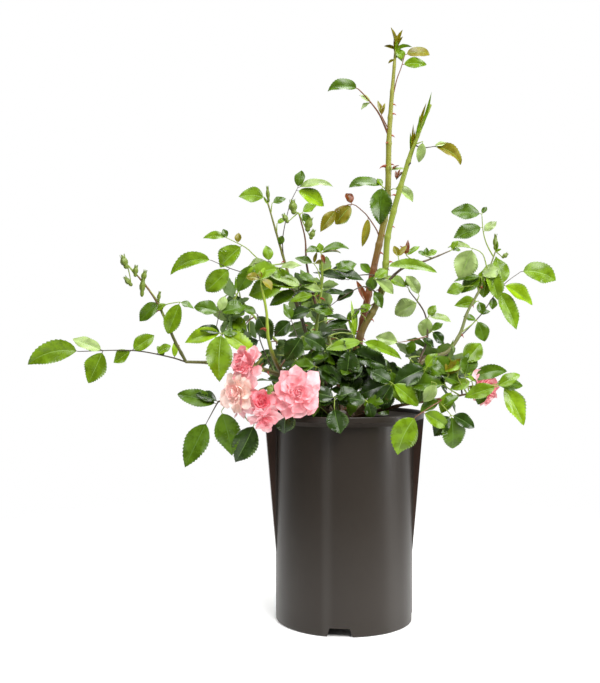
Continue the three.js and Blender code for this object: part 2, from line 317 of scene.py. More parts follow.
def bark_finishes():
    """Barks that go from one colour to another as they rise, with pores and streaks."""
    for name, (low, high, turn, spread) in BARKS.items():
        bark = Finish(name, Roughness=0.45)
        wander = bark.noise(26, 2)
        risen = bark.range(bark.along(2) + wander * spread - spread / 2, turn - spread, turn + spread)
        streaks = bark.noise(420, 4, (1, 1, 0.09))
        pores = bark.range(bark.noise(900, 1), 0.66, 0.74)
        green = bark.blend(streaks, rgb(*high), shade(high, 0.62))
        brown = bark.blend(streaks, rgb(*low), rgb(low[0] * 0.45, low[1] * 0.42, low[2] * 0.4))
        skin = bark.blend(risen, brown, green)
        bark.colour(bark.blend(pores * 0.5, skin, rgb(0.32, 0.2, 0.09)))
        bark.roughness(streaks * 0.25 + 0.34)
        bark.bump(streaks * 0.7 + pores * 0.5, 0.0004, 0.6)


RIB_REACH = (0.0815, 0.0835)  # metres from the middle where the wall ends and a side rib begins
RIB_TOP = (0.228, 0.232)  # metres up, where a side rib's browner colour ends under the lip
# two upright painted highlights, paler streaks that stand for the lamps' reflections down the wall: radians
# from the front where each begins and where it ends
LEFT_PAINTED_HIGHLIGHT = ((-0.39, -0.30), (-0.28, -0.17))
RIGHT_PAINTED_HIGHLIGHT = ((0.50, 0.70), (0.75, 0.95))


def pot_finishes():
    """Dark moulded plastic, browner on the side ribs, with two upright streaks of painted highlight, and
    the mix.
    """
    plastic = Finish("pot_plastic", IOR=1.36, Coat_Weight=0.09, Coat_Roughness=0.16)
    drift = plastic.noise(9, 3)
    scuffs = plastic.range(plastic.noise(60, 5, (1, 1, 0.25)), 0.62, 0.8)
    flat = plastic.node("ShaderNodeMapping", None, {"Vector": plastic.place(), "Scale": (1, 1, 0)})
    out = plastic.node("ShaderNodeVectorMath", {"operation": "LENGTH"}, {0: flat}, 1)
    rib = plastic.range(out, *RIB_REACH) * (1 - plastic.range(plastic.along(2), *RIB_TOP))
    body = plastic.blend(drift, rgb(0.018, 0.013, 0.009), rgb(0.025, 0.019, 0.014))
    body = plastic.blend(rib, body, rgb(0.026, 0.009, 0.003))
    turn = plastic.maths("ARCTAN2", plastic.along(0), 0 - plastic.along(1))
    # painted highlights: two upright streaks of the wall are made paler, standing for the lamps'
    # reflections
    left_highlight, wide = (plastic.range(turn, *start) * (1 - plastic.range(turn, *end))
                  for start, end in (LEFT_PAINTED_HIGHLIGHT, RIGHT_PAINTED_HIGHLIGHT))
    body = plastic.blend(left_highlight * 0.22 + wide * 0.20, body, rgb(0.072, 0.066, 0.060))
    plastic.colour(plastic.blend(scuffs * 0.25, body, rgb(0.050, 0.045, 0.039)))
    plastic.roughness(drift * 0.10 + scuffs * 0.12 + 0.36)
    plastic.bump(plastic.noise(1500, 2) * 0.5 + plastic.noise(14, 2) * 3, 0.0003, 0.25)

    mix = Finish("wet_mix", Roughness=0.85)
    crumbs = mix.noise(260, 6)
    mix.colour(mix.ramp(crumbs, (0.3, rgb(0.008, 0.006, 0.004)), (0.7, rgb(0.05, 0.034, 0.022))))
    mix.bump(crumbs, 0.002, 0.9)
    for name, colour in (("chip_dark", rgb(0.022, 0.014, 0.010)), ("chip_brown", rgb(0.075, 0.042, 0.024))):
        chip = Finish(name, Base_Color=colour, Roughness=0.8)
        chip.bump(chip.noise(700, 3), 0.0006, 0.7)


# ================= gathering meshes =================
class Piece:
    """Points and faces in millimetres, gathered under their finishes and then made one object."""

    def __init__(self, name):
        self.name = name
        self.points = []
        self.faces = []
        self.finishes = []
        self.face_finish = []

    def add(self, points, **faces_by_finish):
        start = len(self.points)
        self.points.extend(points)
        for finish, faces in faces_by_finish.items():
            if finish not in self.finishes:
                self.finishes.append(finish)
            self.faces.extend([start + i for i in face] for face in faces)
            self.face_finish.extend([self.finishes.index(finish)] * len(faces))

    def build(self, slot, *nodes, sharp=58):
        mesh = bpy.data.meshes.new(self.name)
        mesh.from_pydata([p * MM for p in self.points], [], self.faces)
        for name in self.finishes:
            mesh.materials.append(FINISHES[name])
        mesh.polygons.foreach_set("material_index", self.face_finish)
        mesh.polygons.foreach_set("use_smooth", [True] * len(self.faces))
        mesh.update()
        mesh.set_sharp_from_angle(angle=math.radians(sharp))
        piece = bpy.data.objects.new(self.name, mesh)
        bpy.context.scene.collection.objects.link(piece)
        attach(piece, "root")
        if nodes:
            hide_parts(*nodes)
        return piece


def curve_through(stops, step):
    """Points about one step apart on a smooth curve through the stops, which are lists of numbers."""
    ends = [stops[0]] + list(stops) + [stops[-1]]
    places = []
    for before, start, end, after in zip(ends, ends[1:], ends[2:], ends[3:]):
        span = math.dist(start[:3], end[:3])
        count = max(1, round(span / step))
        for i in range(count):
            t = i / count
            places.append([
                0.5 * (2 * b + (c - a) * t + (2 * a - 5 * b + 4 * c - d) * t ** 2
                       + (3 * b - a - 3 * c + d) * t ** 3)
                for a, b, c, d in zip(before, start, end, after)
            ])
    places.append(list(stops[-1]))
    return places


def ring_faces(first, last, sides):
    """Faces between rings of points that follow each other, up to the ring that starts at last."""
    return [[i + k, i + (k + 1) % sides, i + sides + (k + 1) % sides, i + sides + k]
            for i in range(first, last, sides) for k in range(sides)]


def fan_faces(middle, ring, sides):
    return [[middle, ring + k, ring + (k + 1) % sides] for k in range(sides)]


def flipped(faces):
    """The same faces seen from their other side, each begun at the same point."""
    return [face[:1] + face[:0:-1] for face in faces]


def tube(piece, route, radii, sides, finish, relief=None):
    """A closed round limb along a route, with a radius at each point and an optional relief."""
    points = []
    turn = (route[1] - route[0]).orthogonal().normalized()
    travelled = 0.0
    for i, centre in enumerate(route):
        ahead = (route[min(i + 1, len(route) - 1)] - route[max(i - 1, 0)]).normalized()
        turn = (turn - ahead * turn.dot(ahead)).normalized()
        over = ahead.cross(turn)
        if i:
            travelled += (centre - route[i - 1]).length
        for k in range(sides):
            angle = 2 * math.pi * k / sides
            swell = relief(travelled, angle) if relief else 1.0
            out = turn * math.cos(angle) + over * math.sin(angle)
            points.append(centre + out * (radii[i] * swell))
    last = (len(route) - 1) * sides
    foot, tip = len(points), len(points) + 1
    points.append(route[0])
    points.append(route[-1] + (route[-1] - route[-2]).normalized() * radii[-1] * 0.6)
    faces = ring_faces(0, last, sides) + flipped(fan_faces(foot, 0, sides)) + fan_faces(tip, last, sides)
    piece.add(points, **{finish: faces})


# ================= blades: leaflets, petals and sepals =================
LEAFLET_FOOT = 0.58  # a lower number makes the foot of a leaflet rounder


def leaflet_outline(point):
    """A leaflet's half width from its foot to its tip: a higher number draws the tip out longer."""
    widest = LEAFLET_FOOT / (LEAFLET_FOOT + point)
    full = widest ** LEAFLET_FOOT * (1 - widest) ** point
    return lambda s: s ** LEAFLET_FOOT * (1 - s) ** point / full


def petal_outline(s):
    return 1.18 * s ** 0.75 * (1 - s ** 5) ** 0.5


def sepal_outline(s):
    return 1.9 * s ** 0.3 * (1 - s) ** 0.9


LEAFLET = {
    "outline": leaflet_outline(1.0), "lines": 26, "columns": (0.03, 0.36, 0.7, 1.0), "fold": 0.26,
    "droop": 0.45, "slant": 0.32, "quilt": 0.015, "teeth": 0.045, "wave": 0.12, "curl": 0.10, "thick": 0.3,
    "notch": 0.0, "hook": 0.0, "sweep": 0.0, "twist": 0.0,
}
SMALL_LEAFLET = dict(LEAFLET, lines=9, columns=(0.5, 1.0), quilt=0.02, teeth=0.05)
PETAL = dict(
    LEAFLET, outline=petal_outline, lines=9, columns=(0.34, 0.68, 1.0), slant=0.0, quilt=0.012, teeth=0.0,
    curl=-0.12, thick=0.25, notch=0.05,
)
SEPAL = dict(LEAFLET, outline=sepal_outline, lines=6, columns=(1.0,), quilt=0, teeth=0, wave=0, thick=0.35)
SPEAR = dict(
    LEAFLET, lines=8, columns=(0.5, 1.0), fold=0.9, droop=0.12, quilt=0, teeth=0.03, wave=0.03, curl=0,
)


RIPPLE = 9.4  # how fast an edge waves from foot to tip
OFF_BEAT = 1.7  # how far one edge's waves are ahead of the other's
RIB_THICK = 1.8  # the middle of a blade, as a share of its thickness elsewhere


def blade(piece, base, along, up, length, width, form, top, under, phase=0.0):
    """One thin closed blade with a creased middle, side veins and a toothed edge."""
    along = along.normalized()
    side = along.cross(up).normalized()
    up = side.cross(along)
    lines, cells = form["lines"], len(form["columns"])
    shares = (0.0, *form["columns"])
    points = [base.copy()]
    upper, lower = [], []
    centre = base.copy()
    for line in range(1, lines):
        s = line / lines
        bend = form["droop"] * s ** 1.3 + form["hook"] * s ** 5
        swing = form["sweep"] * s
        ahead = along * math.cos(swing) + side * math.sin(swing)
        tangent = ahead * math.cos(bend) - up * math.sin(bend)
        normal = up * math.cos(bend) + ahead * math.sin(bend)
        across = side * math.cos(swing) - along * math.sin(swing)
        roll = form["twist"] * s
        across, normal = (across * math.cos(roll) + normal * math.sin(roll),
                          normal * math.cos(roll) - across * math.sin(roll))
        centre = centre + tangent * (length / lines)
        half = width / 2 * form["outline"](s)
        vein = -1 if line % 2 == 0 else 1
        above, below = [], []
        for column in range(-cells, cells + 1):
            q = shares[abs(column)]
            hand = math.copysign(1, column)
            reach = half * q * (1 - vein * form["teeth"] * (q == 1))
            ripple = math.sin(RIPPLE * s + phase + OFF_BEAT * hand)
            lift = reach * math.sin(form["fold"]) - form["curl"] * half * q * q
            lift += form["wave"] * half * q * q * ripple
            lift += form["quilt"] * width * vein * math.sin(math.pi * min(q, 0.8))
            forward = form["slant"] * reach * (1 - s) ** 0.5 - vein * form["teeth"] * half * (q == 1)
            forward -= form["notch"] * length * s ** 4 * (1 - q) ** 2
            place = centre + across * (hand * reach * math.cos(form["fold"]))
            place = place + normal * lift + tangent * forward
            above.append(len(points))
            points.append(place)
            if q < 1:
                below.append(len(points))
                points.append(place - normal * form["thick"] * (1 if column else RIB_THICK))
            else:
                below.append(above[-1])
        upper.append(above)
        lower.append(below)
    tip = len(points)
    points.append(centre + tangent * (length / lines))
    if form["notch"]:
        points[tip] = points[tip] - along * (form["notch"] * length)
    top_faces, under_faces, rib_faces = [], [], []
    for c in range(2 * cells):
        along_rib = shares[1] < 0.1 and c in (cells - 1, cells)
        for rows, faces, below in ((upper, rib_faces if along_rib else top_faces, False),
                                   (lower, under_faces, True)):
            made = [[0, rows[0][c + 1], rows[0][c]], [tip, rows[-1][c], rows[-1][c + 1]]]
            made += [[near[c], near[c + 1], far[c + 1], far[c]] for near, far in zip(rows, rows[1:])]
            faces += [face[::-1] for face in made] if below else made
    if top == under:
        piece.add(points, **{top: top_faces + under_faces})
    elif rib_faces:
        rib = "rib_deep" if top in ("deep", "mid", "red") else "rib_pale"
        piece.add(points, **{top: top_faces, under: under_faces, rib: rib_faces})
    else:
        piece.add(points, **{top: top_faces, under: under_faces})


# ================= canes =================
ROUTES = {}
CROWN_HEART = Vector((0, 0, CROWN_TOP - 6))


def cane_rings(node):
    """Centre and radius of each ring of a cane's frame solid, from its foot to its tip."""
    corners = {tuple(round(c / MM, 2) for c in v.co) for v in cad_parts[node].data.vertices}
    left = [Vector(c) for c in sorted(corners)]
    here = max(left, key=lambda p: (p - CROWN_HEART).length)
    rings = []
    while left:
        nearest = min(left, key=lambda p: (p - here).length)
        ring = [p for p in left if (p - nearest).length < RING_SPAN]
        left = [p for p in left if (p - nearest).length >= RING_SPAN]
        here = sum(ring, Vector()) / len(ring)
        rings.append((here, max((p - here).length for p in ring)))
    rings[-1] = (rings[-1][0], rings[-2][1])
    return rings[::-1]


def route_of(node):
    """The cane's fine route as [x, y, z, radius], begun inside whatever it grows from."""
    rings = cane_rings(node)
    foot, radius = rings[0]
    around = [Vector(stop[:3]) for route in ROUTES.values() for stop in route]
    seat = min(around + [CROWN_HEART], key=lambda p: (p - foot).length)
    stops = [[*seat, radius * 1.1]] + [[*centre, size] for centre, size in rings]
    if (seat - foot).length < 1.5:
        stops = stops[1:]
    route = curve_through(stops, CANE_STEP)
    thick, thin, full = GIRTHS.get(node, PLAIN_GIRTH)
    for i, stop in enumerate(route):
        up = i / (len(route) - 1)
        stop[3] *= thick + (thin - thick) * up ** TAPER + full * FULLEST * up ** 3 * (1 - up)
    return route


def cane_point(node, at):
    route = ROUTES[node]
    return Vector(route[min(len(route) - 1, round(at * (len(route) - 1)))][:3])


def cane_direction(node, at):
    return (cane_point(node, min(1.0, at + 0.03)) - cane_point(node, at - 0.03)).normalized()


# each swelling of a leaf scar: its height as a share of the radius, how far below the scar it is, its reach
SCAR = ((0.17, 0, 1.9), (0.06, 3, 5))


def cane_relief(seed):
    """Swollen leaf scars every few centimetres, long shallow ridges and a little unevenness."""
    draw = random.Random(seed)
    start = draw.uniform(4, NODE_SPACING)

    def relief(travelled, angle):
        nearest = (travelled - start + NODE_SPACING / 2) % NODE_SPACING - NODE_SPACING / 2
        scar = sum(rise * math.exp(-((nearest + below) / reach) ** 2) for rise, below, reach in SCAR)
        ridge = 0.035 * math.cos(5 * angle + 0.03 * travelled + seed)
        around = round_point(1, angle, travelled / 9 + seed * 3)
        return 1 + scar + ridge + 0.05 * noise.noise(around)

    return relief


def prickle(piece, node, at, out, size):
    """A broad-based thorn that hooks a little towards the cane's foot."""
    radius = ROUTES[node][round(at * (len(ROUTES[node]) - 1))][3]
    base = cane_point(node, at) + out * radius * 0.85
    along = cane_direction(node, at)
    bend = [base - out * 0.6, base + out * size * 0.45, base + out * size * 0.8 - along * size * 0.18]
    bend.append(base + out * size - along * size * 0.42)
    tube(piece, bend, [size * 0.30, size * 0.17, size * 0.08, size * 0.015], 6, "prickle_red")


PRICKLES = {
    "tall_cane": 15, "leaning_cane": 9, "left_arching_cane": 7, "left_rising_cane": 4, "left_lower_cane": 4,
    "left_upright_shoot": 6, "centre_green_stem": 3, "right_cane": 7, "rear_cane": 6, "rear_left_cane": 6,
    "rear_right_cane": 6, "right_lower_cane": 3,
}
PLACED_PRICKLES = [
    # cane, place on it, heading seen from the front and length
    ("tall_cane", .69, 178, 8), ("tall_cane", .83, 2, 5), ("young_green_shoot", .55, 160, 8),
    ("leaning_cane", .50, 10, 6), ("left_rising_cane", .5, 200, 5),
]


def make_canes():
    for seed, (node, finish) in enumerate(CANES.items()):
        ROUTES[node] = route_of(node)
        route = [Vector(stop[:3]) for stop in ROUTES[node]]
        limb = Piece("fine_" + node)
        tube(limb, route, [stop[3] for stop in ROUTES[node]], CANE_SIDES, finish, cane_relief(seed))
        slot = "cane_bark" if finish in ("tall_bark", "arching_bark", "twig_bark") else "green_cane"
        limb.build(slot, node)
    thorns = Piece("prickles")
    draw = random.Random(5)
    for node, count in PRICKLES.items():
        for i in range(count):
            at = 0.12 + 0.8 * (i + draw.random() * 0.8) / count
            along = cane_direction(node, at)
            out = turned_about(along, along.orthogonal().normalized(), draw.uniform(0, ROUND))
            prickle(thorns, node, at, out, draw.uniform(3.6, 6.2))
    for node, at, heading, size in PLACED_PRICKLES:
        prickle(thorns, node, at, front_heading(heading, 0), size)
    thorns.build("cane_bark")


CROWN = {"levels": 14, "sides": 40, "foot": 16.5, "taper": 4.5, "shoulder": 0.82, "rounding": 5.5}


def make_crown():
    """The knobbly stump that the canes spring from."""
    crown = Piece("fine_crown")
    low, high = (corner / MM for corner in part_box("crown_stem"))
    levels, sides = CROWN["levels"], CROWN["sides"]
    points = []
    for level in range(levels + 1):
        up = level / levels
        for k in range(sides):
            angle = 2 * math.pi * k / sides
            inset = CROWN["rounding"] * max(0, up - CROWN["shoulder"]) * CROWN["rounding"] * up
            radius = CROWN["foot"] - CROWN["taper"] * up - inset
            knob = 1 + 0.09 * math.sin(3 * angle + 4 * up)
            place = round_point(1, angle, up * 1.6)
            knob += 0.10 * noise.noise(place * 2.2) + 0.05 * noise.noise(place * 6)
            points.append(round_point(radius * knob, angle, low.z - 2 + up * (high.z - low.z)))
    top = levels * sides
    points += [Vector((0, 0, high.z - 1)), Vector((0, 0, low.z - 2))]
    faces = ring_faces(0, top, sides) + fan_faces(len(points) - 2, top, sides)
    faces += flipped(fan_faces(len(points) - 1, 0, sides))
    crown.add(points, crown_bark=faces)
    crown.build("cane_bark", "crown_stem")


# ================= leaves =================
STALKS = Piece("leaf_stalks")


def front_heading(heading, near):
    """A direction from its angle as seen from the front and how far it leans to the viewer."""
    across = math.cos(math.radians(near))
    turn = math.radians(heading)
    return Vector((math.cos(turn) * across, -math.sin(math.radians(near)), math.sin(turn) * across))


def facing(face):
    """An upper side's direction: 0 to the sky, 90 to the viewer, below 0 to the back."""
    turn = math.radians(face)
    return Vector((0, -math.sin(turn), math.cos(turn)))


def leaflet(piece, base, along, up, length, width, tint, draw, fine=True, hook=0.0, sweep=0.0):
    form = dict(LEAFLET if fine else SMALL_LEAFLET)
    form["droop"] = draw.uniform(0.15, 0.5)
    form["fold"] = draw.uniform(0.2, 0.55)
    form["twist"] = draw.uniform(-0.4, 0.4)
    form["sweep"] = sweep + draw.uniform(-0.22, 0.22)
    form["hook"] = hook
    form["outline"] = leaflet_outline(draw.uniform(0.8, 1.15))
    under = "under_deep" if tint in ("deep", "mid") else "under_pale"
    blade(piece, base, along, up, length, width, form, tint, under, draw.uniform(0, ROUND))


def stalk(route, thick, finish):
    """A leaf stalk or side twig, thinner towards its end."""
    fine = [Vector(p) for p in curve_through([list(p) for p in route], 5.0)]
    count = len(fine) - 1
    tube(STALKS, fine, [thick * (1.25 - 0.65 * i / count) for i in range(count + 1)], 6, finish)
    return fine


def leaf(piece, draw, cane, at, bends, leaflets, finish="stalk_green", thick=0.75):
    """A leaf placed as listed. Each leaflet says where it sits on the stalk from 0 to 1, its heading
    as seen from the front, its length and width, how its upper side faces, its tint, and then if
    need be how far it leans to the viewer, how sharply its tip hooks and how far it sweeps aside."""
    start = cane_point(cane, at)
    route = [start] + [Vector(b) for b in bends]
    if len(route) < 2:
        route.append(start + front_heading(leaflets[0][1], 0) * 3)
    fine = stalk(route, thick, finish)
    for where, heading, length, width, face, tint, *more in leaflets:
        near = more[0] if more else 0
        hook = more[1] if len(more) > 1 else 0
        sweep = more[2] if len(more) > 2 else 0
        along = front_heading(heading, near)
        up = facing(face)
        base = fine[min(len(fine) - 1, round(where * (len(fine) - 1)))]
        seat = base + along * min(2.5, length * 0.08)
        tube(STALKS, [base, seat, seat + along * 1.5], [thick * 0.6, thick * 0.55, thick * 0.4], 5, finish)
        leaflet(piece, seat, along, up, length - 2, width, tint, draw, True, hook, sweep)


# ---- leaves that give each side of the bush its own outline ----
LEFT_LEAVES = [
    ("left_arching_cane", 1, [(-200, -66, 311), (-240, -72, 318), (-297, -80, 317)], [
        (1, 170, 61, 26, 74, "fresh", 0, 0, -1.0), (.77, 158, 37, 18, 52, "pale"),
        (.77, 248, 40, 27, 80, "fresh"), (.51, 33, 30, 20, 68, "fresh"), (.51, 214, 25, 18, 62, "fresh"),
        (.29, 36, 19, 12, 58, "fresh"), (.2, 128, 15, 9, 55, "fresh"), (.12, 84, 20, 7, 60, "lime")],
        "stalk_dark"),
    ("left_rising_cane", .58, [(-209, -68, 372)], [(1, 218, 32, 19, 62, "mid")]),
    ("left_rising_cane", .24, [(-205, -70, 356), (-204, -72, 368), (-186, -74, 372)], [
        (1, 250, 38, 22, 72, "fresh"), (1, -20, 18, 10, 50, "mid"), (.7, 205, 14, 9, 50, "fresh")]),
    ("left_arching_cane", .78, [(-146, -66, 318), (-139, -80, 337)], [
        (1, 182, 43, 20, 66, "lime", 0, 0, -.3), (1, 160, 28, 14, 52, "deep"), (1, 8, 18, 11, 50, "mid"),
        (1, -20, 50, 21, 60, "lime", 0, 0, .3), (.97, 262, 54, 32, 80, "fresh", 14)]),
    ("left_arching_cane", .76, [(-147, -62, 330), (-143, -58, 361)], [
        (1, 14, 31, 24, 56, "mid", 0, .4), (1, 160, 30, 21, 60, "mid", 0, 0, -.4),
        (1, 72, 20, 12, 50, "pale")], "stalk_dark"),
    ("left_lower_cane", 1, [(-146, -89, 255), (-154, -91, 240)], [
        (1, 243, 55, 28, 75, "mid", 6), (.25, 163, 46, 21, 62, "mid"), (.1, 155, 26, 15, 45, "deep")],
        "stalk_dark"),
    ("left_lower_cane", .9, [(-134, -94, 258), (-138, -96, 252)], [(1, -70, 50, 29, 78, "mid", 4)]),
    ("left_lower_cane", .82, [(-112, -98, 246), (-102, -99, 238)], [(1, 248, 48, 29, 75, "deep")]),
    ("left_upright_shoot", .68, [(-95, 8, 408), (-126, 0, 412), (-157, -6, 424)], [
        (1, 168, 55, 22, 74, "fresh", 0, 0, -1.0), (.72, 226, 40, 25, 76, "fresh")], "stalk_dark", .65),
    ("left_upright_shoot", .72, [(-92, 6, 420), (-106, 2, 430), (-117, 0, 440), (-139, -3, 451)], [
        (1, 162, 29, 12, 60, "fresh", 0, 0, -.9), (1, 110, 13, 8, 45, "mid"),
        (.74, 220, 37, 30, 70, "fresh"), (.8, 90, 14, 9, 40, "olive")]),
    ("left_upright_shoot", .58, [(-84, -20, 416), (-88, -38, 420), (-105, -44, 417)], [
        (1, 243, 37, 21, 70, "mid"), (.7, 200, 35, 22, 40, "pale"), (.75, 95, 20, 13, 55, "fresh"),
        (.4, -4, 19, 11, 45, "mid")], "stalk_dark"),
    ("left_upright_shoot", .56, [(-74, -34, 408), (-76, -46, 412)], [
        (1, 190, 40, 24, 60, "fresh"), (1, 14, 26, 12, 45, "pale"), (.6, 110, 16, 11, 55, "fresh")],
        "stalk_dark"),
    ("left_upright_shoot", .44, [(-54, -30, 392), (-50, -40, 392)], [
        (1, 158, 42, 16, 52, "pale"), (1, 174, 42, 16, 62, "fresh"), (1, -12, 24, 12, 50, "pale")],
        "stalk_dark"),
    ("left_upright_shoot", .42, [(-66, -24, 392), (-70, -38, 396)], [
        (1, 200, 45, 30, 64, "fresh"), (1, 118, 24, 14, 50, "fresh"), (.6, 8, 24, 11, 45, "deep")],
        "stalk_dark"),
    ("left_upright_shoot", .38, [(-56, -30, 387)], [
        (1, 152, 44, 19, 30, "pale"), (1, 8, 28, 12, 45, "mid"), (1, 206, 36, 16, 58, "mid")],
        "stalk_dark"),
    ("left_arching_cane", .5, [(-98, -44, 330), (-101, -50, 359)], [
        (1, 300, 34, 25, 74, "deep"), (.6, 205, 28, 18, 60, "deep"), (1, 150, 22, 13, 45, "mid")],
        "stalk_dark"),
    ("left_arching_cane", .3, [(-52, -46, 320), (-62, -52, 352)], [
        (1, 222, 27, 19, 72, "deep"), (.55, 52, 33, 22, 66, "mid"), (.3, 205, 33, 24, 68, "deep"),
        (1, 110, 22, 13, 50, "mid")], "stalk_dark"),
    ("left_upright_shoot", .97, [(-94, 16, 501)], [(1, 160, 33, 21, 72, "fresh", 0, 0, -.7)]),
    ("left_upright_shoot", .95, [(-86, 15, 495)], [(1, 25, 19, 11, 52, "mid")]),
    ("left_upright_shoot", .86, [(-80, 13, 470)], [(1, 30, 12, 8, 55, "fresh")]),
    ("left_upright_shoot", .74, [(-73, 10, 452), (-65, 8, 490), (-55, 6, 512)], [
        (1, 76, 23, 14, 45, "mid"), (1, 22, 44, 14, 40, "pale", 0, .6, .9),
        (.93, -22, 38, 22, 68, "lime"), (.35, 250, 14, 9, 55, "mid")], "stalk_dark", .6),
    ("bud_stem", .95, [(-50, -25, 478)], [(1, 35, 20, 14, 58, "fresh"), (1, -50, 16, 10, 60, "mid")]),
    ("young_green_shoot", 1, [(-96, -68, 397)], [
        (1, 150, 18, 11, 50, "olive", 0, 0, -.8), (1, 70, 16, 9, 45, "lime"),
        (1, -20, 18, 11, 60, "olive", 0, 0, .8), (1, 100, 12, 6, 30, "olive")]),
]
